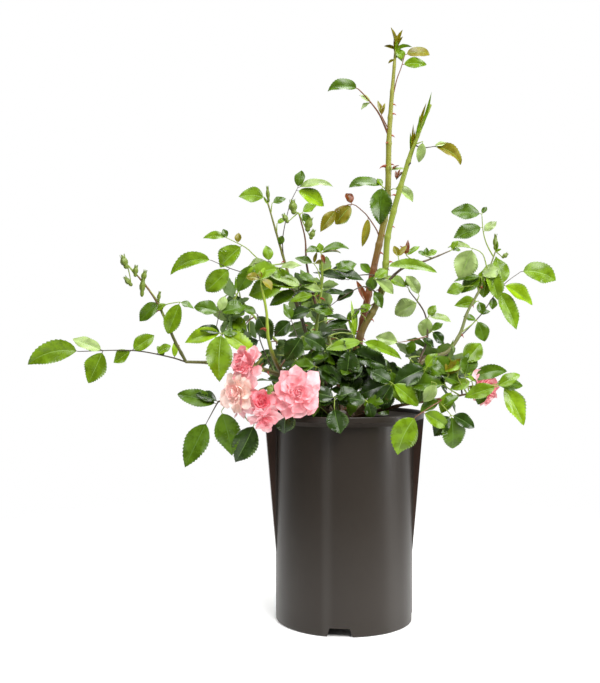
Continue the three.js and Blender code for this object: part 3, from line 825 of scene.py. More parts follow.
CENTRE_LEAVES = [
    ("tall_cane", .485, [(41, 18, 462), (30, 14, 478), (23, 12, 485), (10, 9, 493), (-8, 5, 486)], [
        (1, 229, 33, 16, 62, "olive", 0, 0, -.2), (.74, 112, 16, 13, 50, "red"),
        (.76, 230, 31, 23, 66, "olive"), (.45, 264, 36, 10, 62, "olive")], "stalk_red"),
    ("tall_cane", .62, [(47, 12, 515)], [
        (1, 262, 46, 31, 78, "mid"), (1, 156, 44, 16, 48, "mid", 0, .4, -1.1),
        (1, 120, 13, 8, 50, "fresh")]),
    ("tall_cane", .62, [(60, 12, 512)], [(1, -8, 30, 17, 62, "pale", 0, 0, .9)]),
    ("tall_cane", .70, [(58, 14, 535)], [(1, 8, 18, 6, 45, "pale"), (1, 40, 12, 4, 40, "red")]),
    ("leaning_cane", .80, [(78, -14, 538), (62, -6, 520)], [
        (1, 74, 15, 3.6, 60, "red"), (1, 96, 12, 3.4, 60, "red"), (.8, 60, 9, 3, 60, "red")], "stalk_dark"),
    ("tall_cane", .85, [(64, 14, 642), (69, 13, 656), (72, 12, 666), (74, 12, 673)], [
        (.84, 8, 30, 15, 84, "fresh", 4, 0, .2), (1, 20, 32, 14, 76, "olive", 0, .8, .5),
        (.9, 112, 18, 12, 60, "fresh")], "stalk_red"),
    ("tall_cane", .765, [(44, 14, 601), (30, 11, 619), (18, 9, 631)], [
        (1, 156, 40, 19, 70, "mid", 0, .9, -1.0), (.72, 140, 17, 10, 50, "pale"),
        (.68, 215, 15, 9, 40, "pale")], "stalk_red", 1.1),
    ("tall_cane", .78, [(50, 12, 592), (46, 12, 600)], [
        (1, 100, 20, 5, 60, "olive"), (1, 80, 17, 5, 60, "olive"), (1, 92, 16, 4, 60, "red")], "stalk_red"),
    ("leaning_cane", .87, [(92, -14, 556), (105, -16, 557)], [
        (1, -6, 41, 18, 74, "olive", 0, .8, .9), (1, 20, 18, 8, 50, "pale")], "stalk_dark"),
    ("leaning_cane", .87, [(92, -16, 563)], [(1, 262, 25, 12, 66, "pale")]),
    ("side_shoot", .05, [(50, -14, 416)], [(1, 12, 60, 16, 55, "fresh", 0, 0, .6)]),
    ("side_shoot", .3, [(64, -8, 428)], [(1, 110, 15, 9, 55, "olive"), (1, 60, 18, 7, 50, "olive")]),
    ("side_shoot", .5, [(74, -6, 430)], [
        (1, 85, 20, 6, 50, "red"), (1, 35, 20, 9, 50, "fresh"), (1, 115, 15, 6, 45, "red")]),
    ("side_shoot", .75, [(98, 4, 430)], [
        (1, 30, 16, 9, 50, "fresh"), (1, 140, 12, 7, 45, "mid"), (1, 80, 12, 7, 50, "mid")]),
    ("side_shoot", 1, [(130, 12, 438)], [(1, 60, 15, 9, 50, "fresh"), (1, 5, 13, 7, 45, "mid")]),
    ("leaning_cane", .44, [(34, -16, 406), (14, -20, 405), (4, -22, 400)], [
        (1, 165, 42, 17, 50, "deep"), (.8, 150, 28, 17, 55, "fresh"), (.4, 120, 18, 12, 55, "mid"),
        (.3, 260, 20, 14, 60, "mid")], "stalk_dark"),
    ("leaning_cane", .40, [(22, -26, 392), (-2, -32, 380), (-16, -36, 370)], [
        (1, 190, 30, 10, 45, "deep"), (.7, 172, 28, 11, 45, "deep"), (.5, 210, 26, 13, 52, "deep"),
        (.2, -60, 24, 14, 62, "mid")], "stalk_dark"),
    ("leaning_cane", .34, [(16, -36, 366), (5, -40, 352)], [
        (1, 165, 30, 10, 45, "deep"), (1, 190, 30, 12, 55, "deep"), (.5, 215, 26, 12, 55, "mid")],
        "stalk_dark"),
    ("leaning_cane", .18, [(14, -34, 318), (10, -36, 333)], [
        (1, 90, 44, 5, 60, "lime"), (1, 80, 32, 5, 50, "fresh"), (1, 104, 26, 5, 50, "fresh")]),
    ("leaning_cane", .38, [(26, -14, 368), (25, -19, 373)], [(1, 108, 29, 8, 50, "red")], "stalk_red"),
    ("leaning_cane", .30, [(24, -18, 356), (18, -22, 361)], [(1, 45, 17, 12, 55, "fresh")]),
    ("leaning_cane", .42, [(34, -18, 402)], [(1, 30, 20, 14, 58, "fresh"), (1, -28, 30, 17, 58, "pale")]),
    ("centre_green_stem", .82, [(-32, -30, 412), (-36, -30, 418)], [
        (1, 160, 24, 13, 45, "mid"), (1, 15, 16, 8, 45, "olive"), (1, 80, 16, 5, 45, "olive")]),
    ("centre_green_stem", 1, [(-28, -36, 430)], [
        (1, 32, 34, 15, 40, "mid", 0, 0, .9), (1, 150, 20, 13, 45, "mid", 0, 0, -1.3),
        (1, 100, 13, 9, 40, "fresh"), (1, -70, 14, 6, 50, "red"), (1, 12, 24, 9, 30, "olive", 0, .4)]),
    ("centre_green_stem", .9, [(-18, -38, 412), (-12, -40, 410)], [
        (1, 22, 27, 17, 58, "mid"), (.8, -16, 42, 17, 60, "deep")]),
    ("centre_green_stem", .75, [(-34, -38, 396)], [
        (1, 150, 22, 13, 55, "mid"), (1, 188, 30, 11, 50, "mid")]),
    ("centre_green_stem", .68, [(-36, -42, 381)], [(1, 186, 28, 13, 60, "fresh")]),
    ("centre_green_stem", .6, [(-38, -40, 366)], [
        (1, 200, 30, 16, 60, "deep"), (1, -12, 26, 14, 55, "mid")]),
    ("centre_green_stem", .4, [(-8, -50, 322), (18, -66, 328)], [
        (1, 188, 42, 15, 58, "fresh"), (1, -20, 52, 16, 64, "fresh", 0, .5)]),
    ("centre_green_stem", .35, [(0, -48, 312), (4, -68, 320)], [
        (1, 262, 36, 28, 78, "deep"), (.8, -16, 46, 30, 62, "deep"), (.6, 195, 30, 20, 60, "mid")]),
    ("centre_green_stem", .3, [(-2, -46, 300), (20, -66, 304)], [
        (1, -38, 34, 22, 66, "deep"), (1, 215, 32, 22, 70, "deep"), (.7, 275, 34, 22, 75, "deep")]),
    ("leaning_cane", .12, [(34, -34, 290), (50, -64, 296)], [
        (1, -80, 27, 18, 75, "mid"), (.8, -20, 34, 22, 60, "deep"), (.8, 205, 32, 22, 66, "deep")]),
    ("leaning_cane", .10, [(30, -44, 272), (46, -66, 280)], [
        (1, -36, 36, 18, 66, "fresh"), (1, 196, 34, 22, 66, "deep"), (1, 262, 30, 22, 78, "deep")]),
    ("left_arching_cane", .3, [(-48, -52, 318), (-50, -66, 334)], [
        (1, 238, 34, 25, 70, "deep"), (1, -20, 32, 20, 62, "deep")]),
    ("left_arching_cane", .2, [(-30, -54, 292), (-34, -70, 300)], [
        (1, 262, 34, 24, 76, "deep"), (1, -30, 34, 22, 66, "deep"), (1, 175, 28, 18, 60, "mid")]),
    ("crown_stem", .5, [(-12, -70, 264), (-15, -98, 257)], [
        (1, -82, 30, 28, 84, "deep", 6), (.8, 20, 26, 19, 50, "deep"), (.8, 165, 28, 21, 56, "deep")]),
    ("crown_stem", .5, [(14, -62, 262), (22, -84, 262)], [
        (1, -70, 20, 15, 60, "deep"), (1, 170, 24, 16, 60, "deep")]),
    ("crown_stem", .5, [(-40, -70, 262), (-66, -94, 256)], [
        (1, 258, 30, 27, 78, "deep"), (1, 160, 22, 14, 50, "mid")]),
]
RIGHT_LEAVES = [
    ("right_inner_stem", 1, [(80, 31, 394)], [
        (1, 153, 32, 17, 56, "fresh"), (1, 95, 14, 8, 50, "fresh")]),
    ("right_inner_stem", .84, [(93, 26, 384)], [(1, 116, 29, 17, 52, "pale")]),
    ("right_inner_stem", .8, [(92, 26, 376)], [(1, 205, 32, 26, 70, "pale")]),
    ("right_inner_stem", .55, [(103, 18, 358)], [
        (1, 255, 25, 20, 70, "pale"), (1, -4, 29, 14, 45, "pale", 0, .4), (1, 60, 18, 11, 55, "fresh")]),
    ("right_inner_stem", .42, [(106, 10, 340)], [
        (1, -40, 22, 15, 65, "deep"), (1, 40, 18, 12, 50, "mid")]),
    ("right_inner_stem", .35, [(100, 10, 334), (84, 4, 330), (66, -2, 327)], [
        (1, 168, 29, 20, 60, "pale"), (.6, 250, 20, 14, 62, "mid"), (.3, -35, 20, 13, 55, "deep")],
        "stalk_red"),
    ("right_cane", .965, [(180, 48, 448), (175, 46, 464), (173, 45, 486)], [
        (1, 172, 38, 22, 70, "mid"), (.7, 194, 38, 22, 70, "mid"), (.6, 38, 22, 13, 50, "pale"),
        (1, 60, 12, 7, 45, "mid")]),
    ("right_cane", .9, [(174, 44, 436), (161, 42, 443)], [
        (1, 168, 31, 16, 38, "pale", 0, .5), (1, 246, 43, 31, 66, "pale"), (.3, 264, 40, 22, 66, "fresh"),
        (.1, -62, 40, 27, 64, "fresh"), (.1, 240, 22, 14, 60, "pale")]),
    ("right_cane", .84, [(172, 42, 408)], [
        (1, 186, 34, 14, 50, "mid"), (1, 212, 32, 22, 66, "mid"), (1, 30, 24, 20, 56, "pale"),
        (1, -50, 18, 13, 60, "mid")]),
    ("right_cane", .8, [(166, 40, 396), (152, 38, 396)], [(1, 194, 25, 17, 62, "fresh")]),
    ("right_cane", .75, [(168, 40, 378)], [(1, 190, 30, 18, 58, "fresh"), (1, -70, 18, 13, 60, "mid")]),
    ("right_cane", .60, [(165, 36, 354)], [(1, -62, 28, 19, 68, "mid"), (1, 160, 18, 11, 52, "mid")]),
    ("right_cane", .57, [(172, 46, 361), (189, 52, 384), (206, 58, 402), (226, 64, 416)], [
        (1, 6, 46, 29, 66, "fresh", 0, 0, .6), (.78, 104, 38, 26, 64, "fresh"),
        (.76, -26, 45, 25, 66, "lime"), (.7, -60, 54, 25, 72, "fresh", 0, 0, .2),
        (.6, 262, 17, 12, 60, "mid"), (.4, 30, 14, 9, 50, "mid")], "stalk_dark"),
    ("right_lower_cane", .86, [(108, -78, 280), (112, -80, 290)], [
        (1, 118, 28, 22, 60, "mid", 0, .8, -.4), (1, 60, 26, 14, 60, "olive", 0, .9, .7),
        (1, 88, 22, 10, 50, "olive", 0, .6), (.6, 175, 42, 23, 62, "mid"), (.3, 245, 28, 18, 66, "fresh")]),
    ("right_lower_cane", .9, [(122, -80, 290), (128, -80, 304)], [
        (1, 44, 30, 24, 66, "fresh"), (1, 200, 24, 17, 60, "fresh"), (.4, 150, 24, 16, 60, "mid")]),
    ("right_lower_cane", .92, [(130, -82, 290)], [(1, 74, 28, 22, 70, "mid")]),
    ("right_lower_cane", .95, [(138, -80, 284)], [
        (1, 40, 42, 17, 60, "mid", 0, 0, .8), (1, 195, 26, 15, 60, "fresh")]),
    ("right_lower_cane", 1, [(154, -96, 280), (162, -98, 279)], [
        (1, 197, 37, 19, 68, "fresh"), (1, 28, 30, 16, 62, "fresh", 0, .5), (.4, 250, 20, 13, 66, "mid")]),
    ("right_lower_cane", 1, [(162, -84, 281), (171, -86, 279)], [
        (1, -56, 50, 26, 70, "lime", 0, 0, .3), (.6, 3, 32, 16, 58, "mid")]),
    ("right_lower_cane", .66, [(104, -84, 264), (90, -98, 257), (73, -106, 247)], [
        (1, 230, 47, 31, 80, "fresh", 0, 0, -.7), (.8, -30, 34, 20, 68, "fresh"),
        (.4, 200, 26, 16, 58, "mid")], "stalk_red"),
    ("right_lower_cane", .7, [(92, -90, 284), (97, -94, 282)], [(1, 238, 25, 16, 66, "pale")]),
    ("right_lower_cane", .72, [(104, -92, 258), (112, -98, 248)], [
        (1, -80, 38, 28, 75, "mid"), (1, -22, 30, 17, 62, "deep"), (.6, 30, 22, 14, 52, "mid"),
        (1, 228, 30, 20, 66, "deep")]),
    ("right_lower_cane", .7, [(84, -72, 284), (88, -76, 298)], [
        (1, 200, 40, 26, 62, "deep"), (.7, 262, 30, 22, 70, "mid"), (1, 60, 22, 15, 50, "fresh")]),
    ("right_lower_cane", .5, [(46, -70, 280), (50, -80, 282)], [
        (1, -38, 40, 22, 64, "fresh"), (1, 150, 28, 19, 56, "deep"), (1, 240, 30, 20, 62, "deep")]),
]

REAR_LEAVES = [
    # low leaves behind the crown, over the rear rim, in deep tints that are painted shade for the dark
    # shadow there
    ("rear_cane", .05, [(2, 34, 246), (-2, 52, 254)], [
        (1, 205, 34, 24, 74, "deep"), (1, -25, 32, 22, 74, "deep"), (.6, 262, 26, 20, 80, "deep")],
        "stalk_dark"),
    ("rear_right_cane", .06, [(24, 36, 250), (32, 46, 256)], [
        (1, 210, 34, 22, 74, "deep"), (1, -30, 32, 22, 70, "mid"), (.6, 265, 26, 19, 80, "deep")],
        "stalk_dark"),
    ("rear_left_cane", .06, [(-24, 34, 248), (-32, 44, 256)], [
        (1, 200, 32, 22, 70, "deep"), (1, -35, 32, 22, 74, "deep"), (.6, 262, 26, 19, 80, "deep")],
        "stalk_dark"),
]


# ================= leaves grown by rule =================
LEAF_GAP = 9  # between the places of two leaves in a mass
LEAF_MARGIN = 6.0  # from such a place to the surface of the mass
TRIES = 60  # at each leaf's place
FRONT_SHARE = 0.45  # of a mass's depth, kept for the listed leaves
LEAF_SIZE = 31.0
CROWN_TWIGS = 30
MIX_GAP = (-78, -22)  # headings at the front right where the mix shows between the leaves


def outward(place):
    flat = Vector((place.x, place.y, 0))
    return flat.normalized() if flat.length > 5 else Vector((0, -1, 0))


def inside(node, place, margin=0.0):
    """Whether a place lies in a mass of the frame, at least the margin below its surface."""
    found, surface, normal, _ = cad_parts[node].closest_point_on_mesh(place * MM)
    away = place * MM - surface
    return found and away.dot(normal) < 0 and away.length >= margin * MM


def places_in(node, count, draw):
    """Places in a mass, apart from each other, and clear of the front of all but the rear masses."""
    low, high = (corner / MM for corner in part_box(node))
    low.y += (high.y - low.y) * (0.0 if node.startswith("rear") else FRONT_SHARE)
    found = []
    for _ in range(count * TRIES):
        place = Vector(draw.uniform(a, b) for a, b in zip(low, high))
        far = all((place - other).length > LEAF_GAP for other in found)
        if far and inside(node, place, LEAF_MARGIN):
            found.append(place)
        if len(found) == count:
            break
    return found


def grown_leaf(piece, draw, start, ahead, up, size, tints, pairs):
    """A leaf of one end leaflet and side pairs on a short stalk, by the rose's own rule."""
    tint = draw.choice(tints)
    reach = size * (0.55 + 0.5 * pairs)
    end = start + ahead * reach + up * (-0.12 * reach)
    fine = stalk([start, start + ahead * reach * 0.55 + up * reach * 0.05, end], 0.62, "stalk_green")
    side = ahead.cross(up).normalized()
    for pair in range(pairs + 1):
        share = 1.0 if pair == pairs else 0.42 + 0.42 * pair / max(1, pairs - 0.3)
        base = fine[round(share * (len(fine) - 1))]
        scale = size * (1.0 if pair == pairs else 0.82 + 0.08 * pair)
        for hand in ((0,) if pair == pairs else (-1, 1)):
            along = ahead * (1 if hand == 0 else 0.55) + side * (hand * 0.95)
            along = along + up * draw.uniform(-0.2, 0.14)
            tip_up = up + side * draw.uniform(-0.25, 0.25) + ahead * draw.uniform(-0.2, 0.2)
            width = scale * draw.uniform(0.58, 0.72)
            length = scale * draw.uniform(0.9, 1.1)
            leaflet(piece, base, along.normalized(), tip_up, length, width, tint, draw, False)


def nearest_cane(place):
    stops = [Vector(stop[:3]) for route in ROUTES.values() for stop in route[4:]]
    return min(stops, key=lambda p: (p - place).length)


def fill_mass(piece, node, count, tints, draw):
    """Twigs from the nearest cane into a mass, with leaves along each of them."""
    low, high = (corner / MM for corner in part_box(node))
    heart = (low + high) / 2
    for place in places_in(node, count, draw):
        foot = nearest_cane(place)
        ahead = place - foot
        if ahead.length < 4:
            ahead = outward(place) * 8
        middle = foot + ahead * 0.5 + Vector((0, 0, 0.10 * ahead.length))
        stalk([foot, middle, place], 0.95, draw.choice(("stalk_green", "stalk_dark", "stalk_red")))
        for _ in range(2):
            spread = Vector((draw.uniform(-1, 1), draw.uniform(-1, 1), draw.uniform(-0.25, 0.45)))
            heading = (outward(place) * 0.55 + ahead.normalized() * 0.3 + spread * 0.9).normalized()
            scale = LEAF_SIZE * draw.uniform(0.75, 1.15)
            for _ in range(4):
                if not inside(node, place + heading * scale * 1.5):
                    heading = (heading + (heart - place).normalized() * 0.6).normalized()
            up = (Vector((0, 0, 1)) + outward(place) * 1.2).normalized()
            grown_leaf(piece, draw, place, heading, up, scale, tints, draw.choice((1, 1, 2)))


def fill_crown(piece, draw):
    """Short leafy twigs round the foot of the canes, which close the gap above the rim, in dark tints that
    are painted shade.
    """
    for i in range(CROWN_TWIGS):
        turn = math.radians(-90 + (i - CROWN_TWIGS / 2) * 340 / CROWN_TWIGS + draw.uniform(-14, 14))
        reach = draw.uniform(24, 66)
        if MIX_GAP[0] < math.degrees(turn) < MIX_GAP[1]:
            continue
        place = round_point(reach, turn, POT["height"] + draw.uniform(8, 52))
        foot = nearest_cane(place)
        stalk([foot, (foot + place) / 2 + Vector((0, 0, 5)), place], 0.9, "stalk_dark")
        spread = Vector((draw.uniform(-.8, .8), draw.uniform(-.6, .3), .1))
        heading = (outward(place) * 0.8 + spread).normalized()
        up = (Vector((0, 0, 0.8)) + outward(place)).normalized()
        grown_leaf(piece, draw, place, heading, up, draw.uniform(22, 32), PAINTED_SHADE_TINTS, 1)


# tints for the leaves grown by rule: the dark set and the shade set are painted shade, darker tints dealt
# to the masses low in, inside and behind the bush
PAINTED_SHADE_TINTS = ("deep", "deep", "mid")
SHADE = ("deep", "deep", "mid", "mid", "fresh")
LIGHT = ("fresh", "mid", "fresh", "lime")
SUNNY = ("mid", "fresh", "fresh", "lime", "deep")
MIXED = ("mid", "deep", "fresh")
GROWN = {
    # how many twigs grow in a mass, and their leaves' tints
    "centre_low_leaves": (8, PAINTED_SHADE_TINTS), "rim_hanging_leaf": (2, PAINTED_SHADE_TINTS), "right_low_leaves": (4, MIXED),
    "rear_tip_leaves": (5, LIGHT), "rear_middle_leaves": (5, SHADE), "rear_left_leaves": (4, SHADE),
    "rear_low_leaves": (5, SHADE), "rear_right_leaves": (7, SUNNY),
}
REGIONS = {
    # the leaf rows of each part of the crown, and the masses of the frame that it stands for
    "centre": (CENTRE_LEAVES, """
        centre_low_leaves centre_high_leaves rim_hanging_leaf cane_side_leaves side_shoot_leaves
        front_hanging_leaf tall_cane_left_leaf tall_cane_tip_leaves tall_cane_right_leaf
        leaning_tip_leaves leaning_side_leaf
    """),
    "left": (LEFT_LEAVES, """
        left_inner_leaves long_left_spray rising_bud_spray left_fan_spray left_front_leaves
        left_pointed_leaf left_low_spray left_hanging_leaf left_hanging_pair left_tip_leaves
        curled_leaf_spray
    """),
    "right": (RIGHT_LEAVES, """
        right_low_leaves right_inner_spray right_top_spray right_bud_leaves right_far_spray
        right_drooping_leaf right_middle_leaves right_tip_leaves front_right_leaves
    """),
    "rear": (REAR_LEAVES, """
        rear_tip_leaves rear_middle_leaves rear_left_leaves rear_low_leaves rear_right_leaves
    """),
}


SHOOT_TIPS = {
    # each young leaf's heading, length, width, tint and sweep
    "tall_cane": [(96, 28, 9, "olive", -.15), (82, 28, 10, "olive", .3), (91, 32, 4, "red", 0),
                  (89, 26, 12, "fresh", 0), (146, 15, 7, "olive", -.5), (48, 22, 9, "fresh", 1.0),
                  (-40, 12, 7, "lime", 0), (205, 9, 6, "olive", 0), (70, 18, 8, "olive", .3)],
    "leaning_cane": [(71, 52, 7, "fresh", 0), (75, 46, 7, "olive", 0), (67, 43, 7, "lime", 0),
                     (78, 35, 7, "fresh", 0), (65, 32, 7, "lime", 0), (72, 24, 8, "lime", .1)],
    "right_cane": [(80, 14, 5, "fresh", 0), (30, 10, 5, "fresh", 0)],
    "left_upright_shoot": [(95, 16, 5, "fresh", 0), (120, 12, 5, "fresh", 0)],
    "rear_cane": [(70, 22, 7, "fresh", 0), (110, 18, 6, "olive", 0)],
    "rear_left_cane": [(85, 22, 7, "fresh", 0), (120, 18, 6, "olive", 0)],
    "rear_right_cane": [(60, 22, 7, "fresh", 0), (100, 18, 6, "olive", 0)],
}
BUNDLE_FOOT = {"leaning_cane": 0.905}  # the place on its cane where a bundle starts, if not the tip
BUNDLE_STEP = 0.011
SIDE_SHOOTS = ((86, 34, "olive"), (93, 24, "fresh"), (80, 28, "olive"))  # lower on the leaning cane


def make_shoot_tips(piece):
    """The young folded leaves that stand in tight bundles at the tops of the tallest canes."""
    for i, (cane, spears) in enumerate(SHOOT_TIPS.items()):
        for k, (heading, length, width, tint, sweep) in enumerate(spears):
            base = cane_point(cane, BUNDLE_FOOT.get(cane, 1) - BUNDLE_STEP * (k % 4))
            along = front_heading(heading, 12 * math.sin(2.4 * k + i))
            up = Vector((0.6 * math.cos(2.1 * k), -1, 0.2))
            blade(piece, base, along, up, length, width, dict(SPEAR, sweep=sweep), tint, tint, k)
    side = cane_point("leaning_cane", .845)
    for k, (heading, length, tint) in enumerate(SIDE_SHOOTS):
        blade(piece, side, front_heading(heading, 8), facing(80 + 30 * k), length, 5, SPEAR,
              tint, "under_pale", k)


def make_foliage():
    for i, (region, (rows, masses)) in enumerate(REGIONS.items()):
        piece = Piece(region + "_foliage")
        draw = random.Random(100 + i)
        for row in rows:
            leaf(piece, draw, *row)
        for node in masses.split():
            if node in GROWN:
                fill_mass(piece, node, *GROWN[node], draw)
        if region == "centre":
            fill_crown(piece, draw)
            make_shoot_tips(piece)
        piece.build("foliage", *masses.split())


# ================= buds and blooms =================
def bud(piece, foot, ahead, length, radius):
    """A pointed green bud on its swollen hip, five sepals pressed along it and free at their tips."""
    stops = (0, .10, .20, .27, .40, .56, .72, .86, 1)
    swell = (.30, .62, .68, .58, .92, 1.0, .78, .42, .12)
    route = [foot + ahead * (length * s) for s in stops]
    tube(piece, route, [radius * w for w in swell], 10, "bud_green",
         lambda travelled, angle: 1 + 0.10 * math.cos(5 * angle) * (travelled > length * 0.25))
    around = ahead.orthogonal().normalized()
    for k in range(5):
        out = turned_about(ahead, around, k * FIFTH)
        base = foot + ahead * length * 0.66 + out * radius * 0.72
        blade(piece, base, ahead - out * 0.12, out, length * 0.42, radius * 0.5,
              dict(SEPAL, droop=-0.1 * k, fold=-0.3), "bud_green", "bud_green")


BUD_TRUSSES = [
    # cane, place on it, then each bud's foot, heading, length and radius
    ("left_rising_cane", 1, [((-245, -73, 409), 108, 16, 4.4), ((-236, -72, 400), 84, 13, 3.2),
                             ((-240, -70, 390), 128, 13, 3.3), ((-228, -70, 394), 76, 14, 3.2)]),
    ("left_rising_cane", .8, [((-229, -70, 378), 84, 22, 3.4), ((-211, -68, 372), 80, 12, 2.2)]),
    ("left_lower_cane", .6, [((-86, -124, 272), 66, 11, 3.6)]),
    ("bud_stem", 1, [((-59, -25, 476), 98, 17, 5.0), ((-66, -25, 466), 120, 12, 3.4),
                     ((-44, -24, 456), 76, 17, 4.6), ((-40, -24, 447), 70, 12, 3.4)]),
    ("right_cane", 1, [((190, 50, 442), 88, 19, 2.8), ((199, 50, 432), 40, 9, 3.0)]),
    ("left_upright_shoot", 1, [((-90, 16, 496), 95, 19, 2.4)]),
    ("rear_left_cane", 1, [((-146, 142, 400), 110, 14, 3.4), ((-134, 144, 400), 70, 11, 3.0)]),
    ("rear_cane", 1, [((-36, 196, 396), 100, 14, 3.4), ((-28, 192, 398), 60, 11, 2.8)]),
]


def make_buds():
    buds = Piece("flower_buds")
    for cane, at, trusses in BUD_TRUSSES:
        start = cane_point(cane, at)
        for foot, heading, length, radius in trusses:
            foot = Vector(foot)
            ahead = front_heading(heading, 6)
            stalk([start, (start + foot) / 2 + Vector((0, 0, 1)), foot + ahead], 0.7, "stalk_green")
            bud(buds, foot, ahead, length, radius)
    buds.build("foliage", "bud_cluster")


def bloom(piece, heart, axis, radius, rings, draw):
    """A full double bloom: rings of ruffled petals that open wider from the heart outwards."""
    axis = axis.normalized()
    across = axis.orthogonal().normalized()
    for ring, (count, share, opening, tint) in enumerate(rings):
        for k in range(count):
            turn = 2 * math.pi * (k + 0.5 * (ring % 2) + draw.uniform(-0.34, 0.34)) / count
            out = turned_about(axis, across, turn)
            lean = math.radians(opening + draw.uniform(-13, 13))
            along = axis * math.cos(lean) + out * math.sin(lean)
            up = axis * math.sin(lean) - out * math.cos(lean)
            length = radius * share * draw.uniform(0.84, 1.1)
            width = length * draw.uniform(0.62, 0.88)
            form = dict(PETAL, droop=draw.uniform(-0.2, 0.7), fold=draw.uniform(-0.1, 0.4),
                        wave=draw.uniform(0.12, 0.35),
                        notch=draw.uniform(-0.07, 0.14) - 0.09 * (opening > 65))
            base = heart + out * (radius * 0.05) - axis * (radius * 0.04 * ring)
            twist = out.cross(axis) * draw.uniform(-0.35, 0.35)
            phase = draw.uniform(0, ROUND)
            blade(piece, base, along, up + twist, length, width, form, tint, tint, phase)
    hip = heart - axis * radius * 0.62
    for k in range(5):
        out = turned_about(axis, across, k * FIFTH + 0.4)
        blade(piece, heart - axis * radius * 0.34, (out + axis * 0.15).normalized(), axis, radius * 0.7,
              radius * 0.26, dict(SEPAL, droop=0.4), "bud_green", "bud_green")
    tube(piece, [hip, *(heart - axis * radius * share for share in (0.45, 0.3, 0.2))],
         [radius * w for w in (0.08, 0.16, 0.13, 0.05)], 10, "bud_green")
    return hip


FULL_RINGS = [(4, .36, -16, "petal_pink"), (5, .44, 8, "petal_rose"), (7, .54, 26, "petal_pink"),
              (8, .64, 42, "petal_pink"), (9, .76, 58, "petal_pink"), (8, .90, 72, "petal_pink"),
              (8, 1.0, 86, "petal_pale"), (6, 1.0, 98, "petal_pink")]
PALE_RINGS = [(4, .36, -10, "petal_pink"), (7, .48, 18, "petal_blush"), (9, .60, 36, "petal_blush"),
              (10, .76, 54, "petal_cream"), (10, .92, 72, "petal_cream"), (9, 1.0, 90, "petal_pale")]
DEEP_RINGS = [(4, .50, -14, "petal_coral"), (5, .60, 2, "petal_coral"), (6, .72, 14, "petal_coral"),
              (7, .86, 26, "petal_coral"), (7, 1.0, 40, "petal_rose"), (6, 1.0, 58, "petal_pink")]
SIDE_RINGS = [(4, .55, -10, "petal_rose"), (6, .70, 6, "petal_rose"), (7, .82, 20, "petal_pink"),
              (7, .95, 34, "petal_pink"), (7, 1.0, 50, "petal_pink"), (6, 1.0, 72, "petal_pale")]
FAN_RINGS = [(5, .55, 20, "petal_rose"), (7, .8, 48, "petal_pink"), (7, .95, 68, "petal_pale"),
             (6, 1.0, 84, "petal_pale")]
BLOOMS = [
    # heart, direction it looks in, radius, petals, the cane that carries it and where
    ((-55, -112, 272), (0.05, -1.0, 0.10), 27, FULL_RINGS, "left_lower_cane", .45),
    ((-108, -96, 302), (-0.74, -0.56, 0.32), 24, SIDE_RINGS, "left_arching_cane", .62),
    ((-120, -106, 272), (-0.70, -0.72, 0.02), 26, PALE_RINGS, "left_lower_cane", .85),
    ((-93, -114, 264), (0.05, -1.0, 0.10), 17, DEEP_RINGS, "left_lower_cane", .7),
    ((-90, -110, 247), (0.15, -0.75, -0.75), 19, FAN_RINGS, "left_lower_cane", .7),
    ((150, -76, 276), (0.55, -0.80, 0.05), 21, SIDE_RINGS, "right_lower_cane", 1),
    ((-77, -108, 263), (-0.40, -0.90, -0.10), 12, FAN_RINGS, "left_lower_cane", .6),
]


def make_blooms():
    draw = random.Random(31)
    blossom = Piece("blooms")
    for heart, axis, radius, rings, cane, at in BLOOMS:
        hip = bloom(blossom, Vector(heart), Vector(axis), radius, rings, draw)
        start = cane_point(cane, at)
        behind = hip - Vector(axis).normalized() * 6
        stalk([start, (start + behind) / 2 + Vector((0, 2, 2)), behind, hip], 1.0, "stalk_green")
    blossom.build("petals", "side_blooms", "front_bloom", "right_bloom")


# ================= pot and potting mix =================
def arc(centre, radius, start, end, steps=5):
    """Points round a quarter or so of a circle in the pot's section, angles in degrees."""
    turns = [math.radians(start + (end - start) * i / steps) for i in range(steps + 1)]
    return [(centre[0] + radius * math.cos(t), centre[1] + radius * math.sin(t)) for t in turns]


def pot_section():
    """The pot's section from the middle of its underside, up its outside and down its inside."""
    ledge = LIP_FOOT - POT["ledge_rise"]
    wall, inside_wall = POT["foot"], POT["foot"] - POT["wall"]
    rim, thick, soft, rounding = POT["rim"], POT["lip_thick"], POT["lip_round"], POT["foot_round"]
    ring = wall - POT["foot_ring"]
    section = [(0, POT["hollow"]), (ring - 1.5, POT["hollow"]), (ring, 1.0), (ring + 1.0, 0)]
    section += [(wall - rounding - 3, 0), *arc((wall - rounding, rounding), rounding, -90, 0)]
    section += [(wall, z) for z in (*WALL_LEVELS, ledge)]
    section += [(rim - 1.8, LIP_FOOT - POT["lip_chamfer"]), (rim - POT["lip_chamfer"], LIP_FOOT)]
    section += arc((rim - soft, POT["height"] - soft), soft, 0, 90)
    section += arc((rim - thick + soft, POT["height"] - soft), soft, 90, 180)
    section += [(rim - thick, LIP_FOOT + POT["wall"]), (inside_wall, ledge + POT["wall"])]
    section += [(inside_wall, z) for z in WALL_LEVELS[:2:-1]]
    return section + [(inside_wall, INSIDE_FLOOR), (0, INSIDE_FLOOR)]


def pot_angles():
    """Every two and a half degrees, and closer steps at each side rib's edges."""
    edges = [POT["rib_half"] + d for d in (-1.0, -POT["rib_edge"], POT["rib_edge"], 1.0)]
    sharp = [side + hand * e for side in (0, 180) for hand in (-1, 1) for e in edges]
    even = [a * 2.5 for a in range(144)]
    spare = [a for a in even if all(abs((a - s + 180) % 360 - 180) > 1.1 for s in sharp)]
    return sorted(a % 360 for a in spare + sharp)


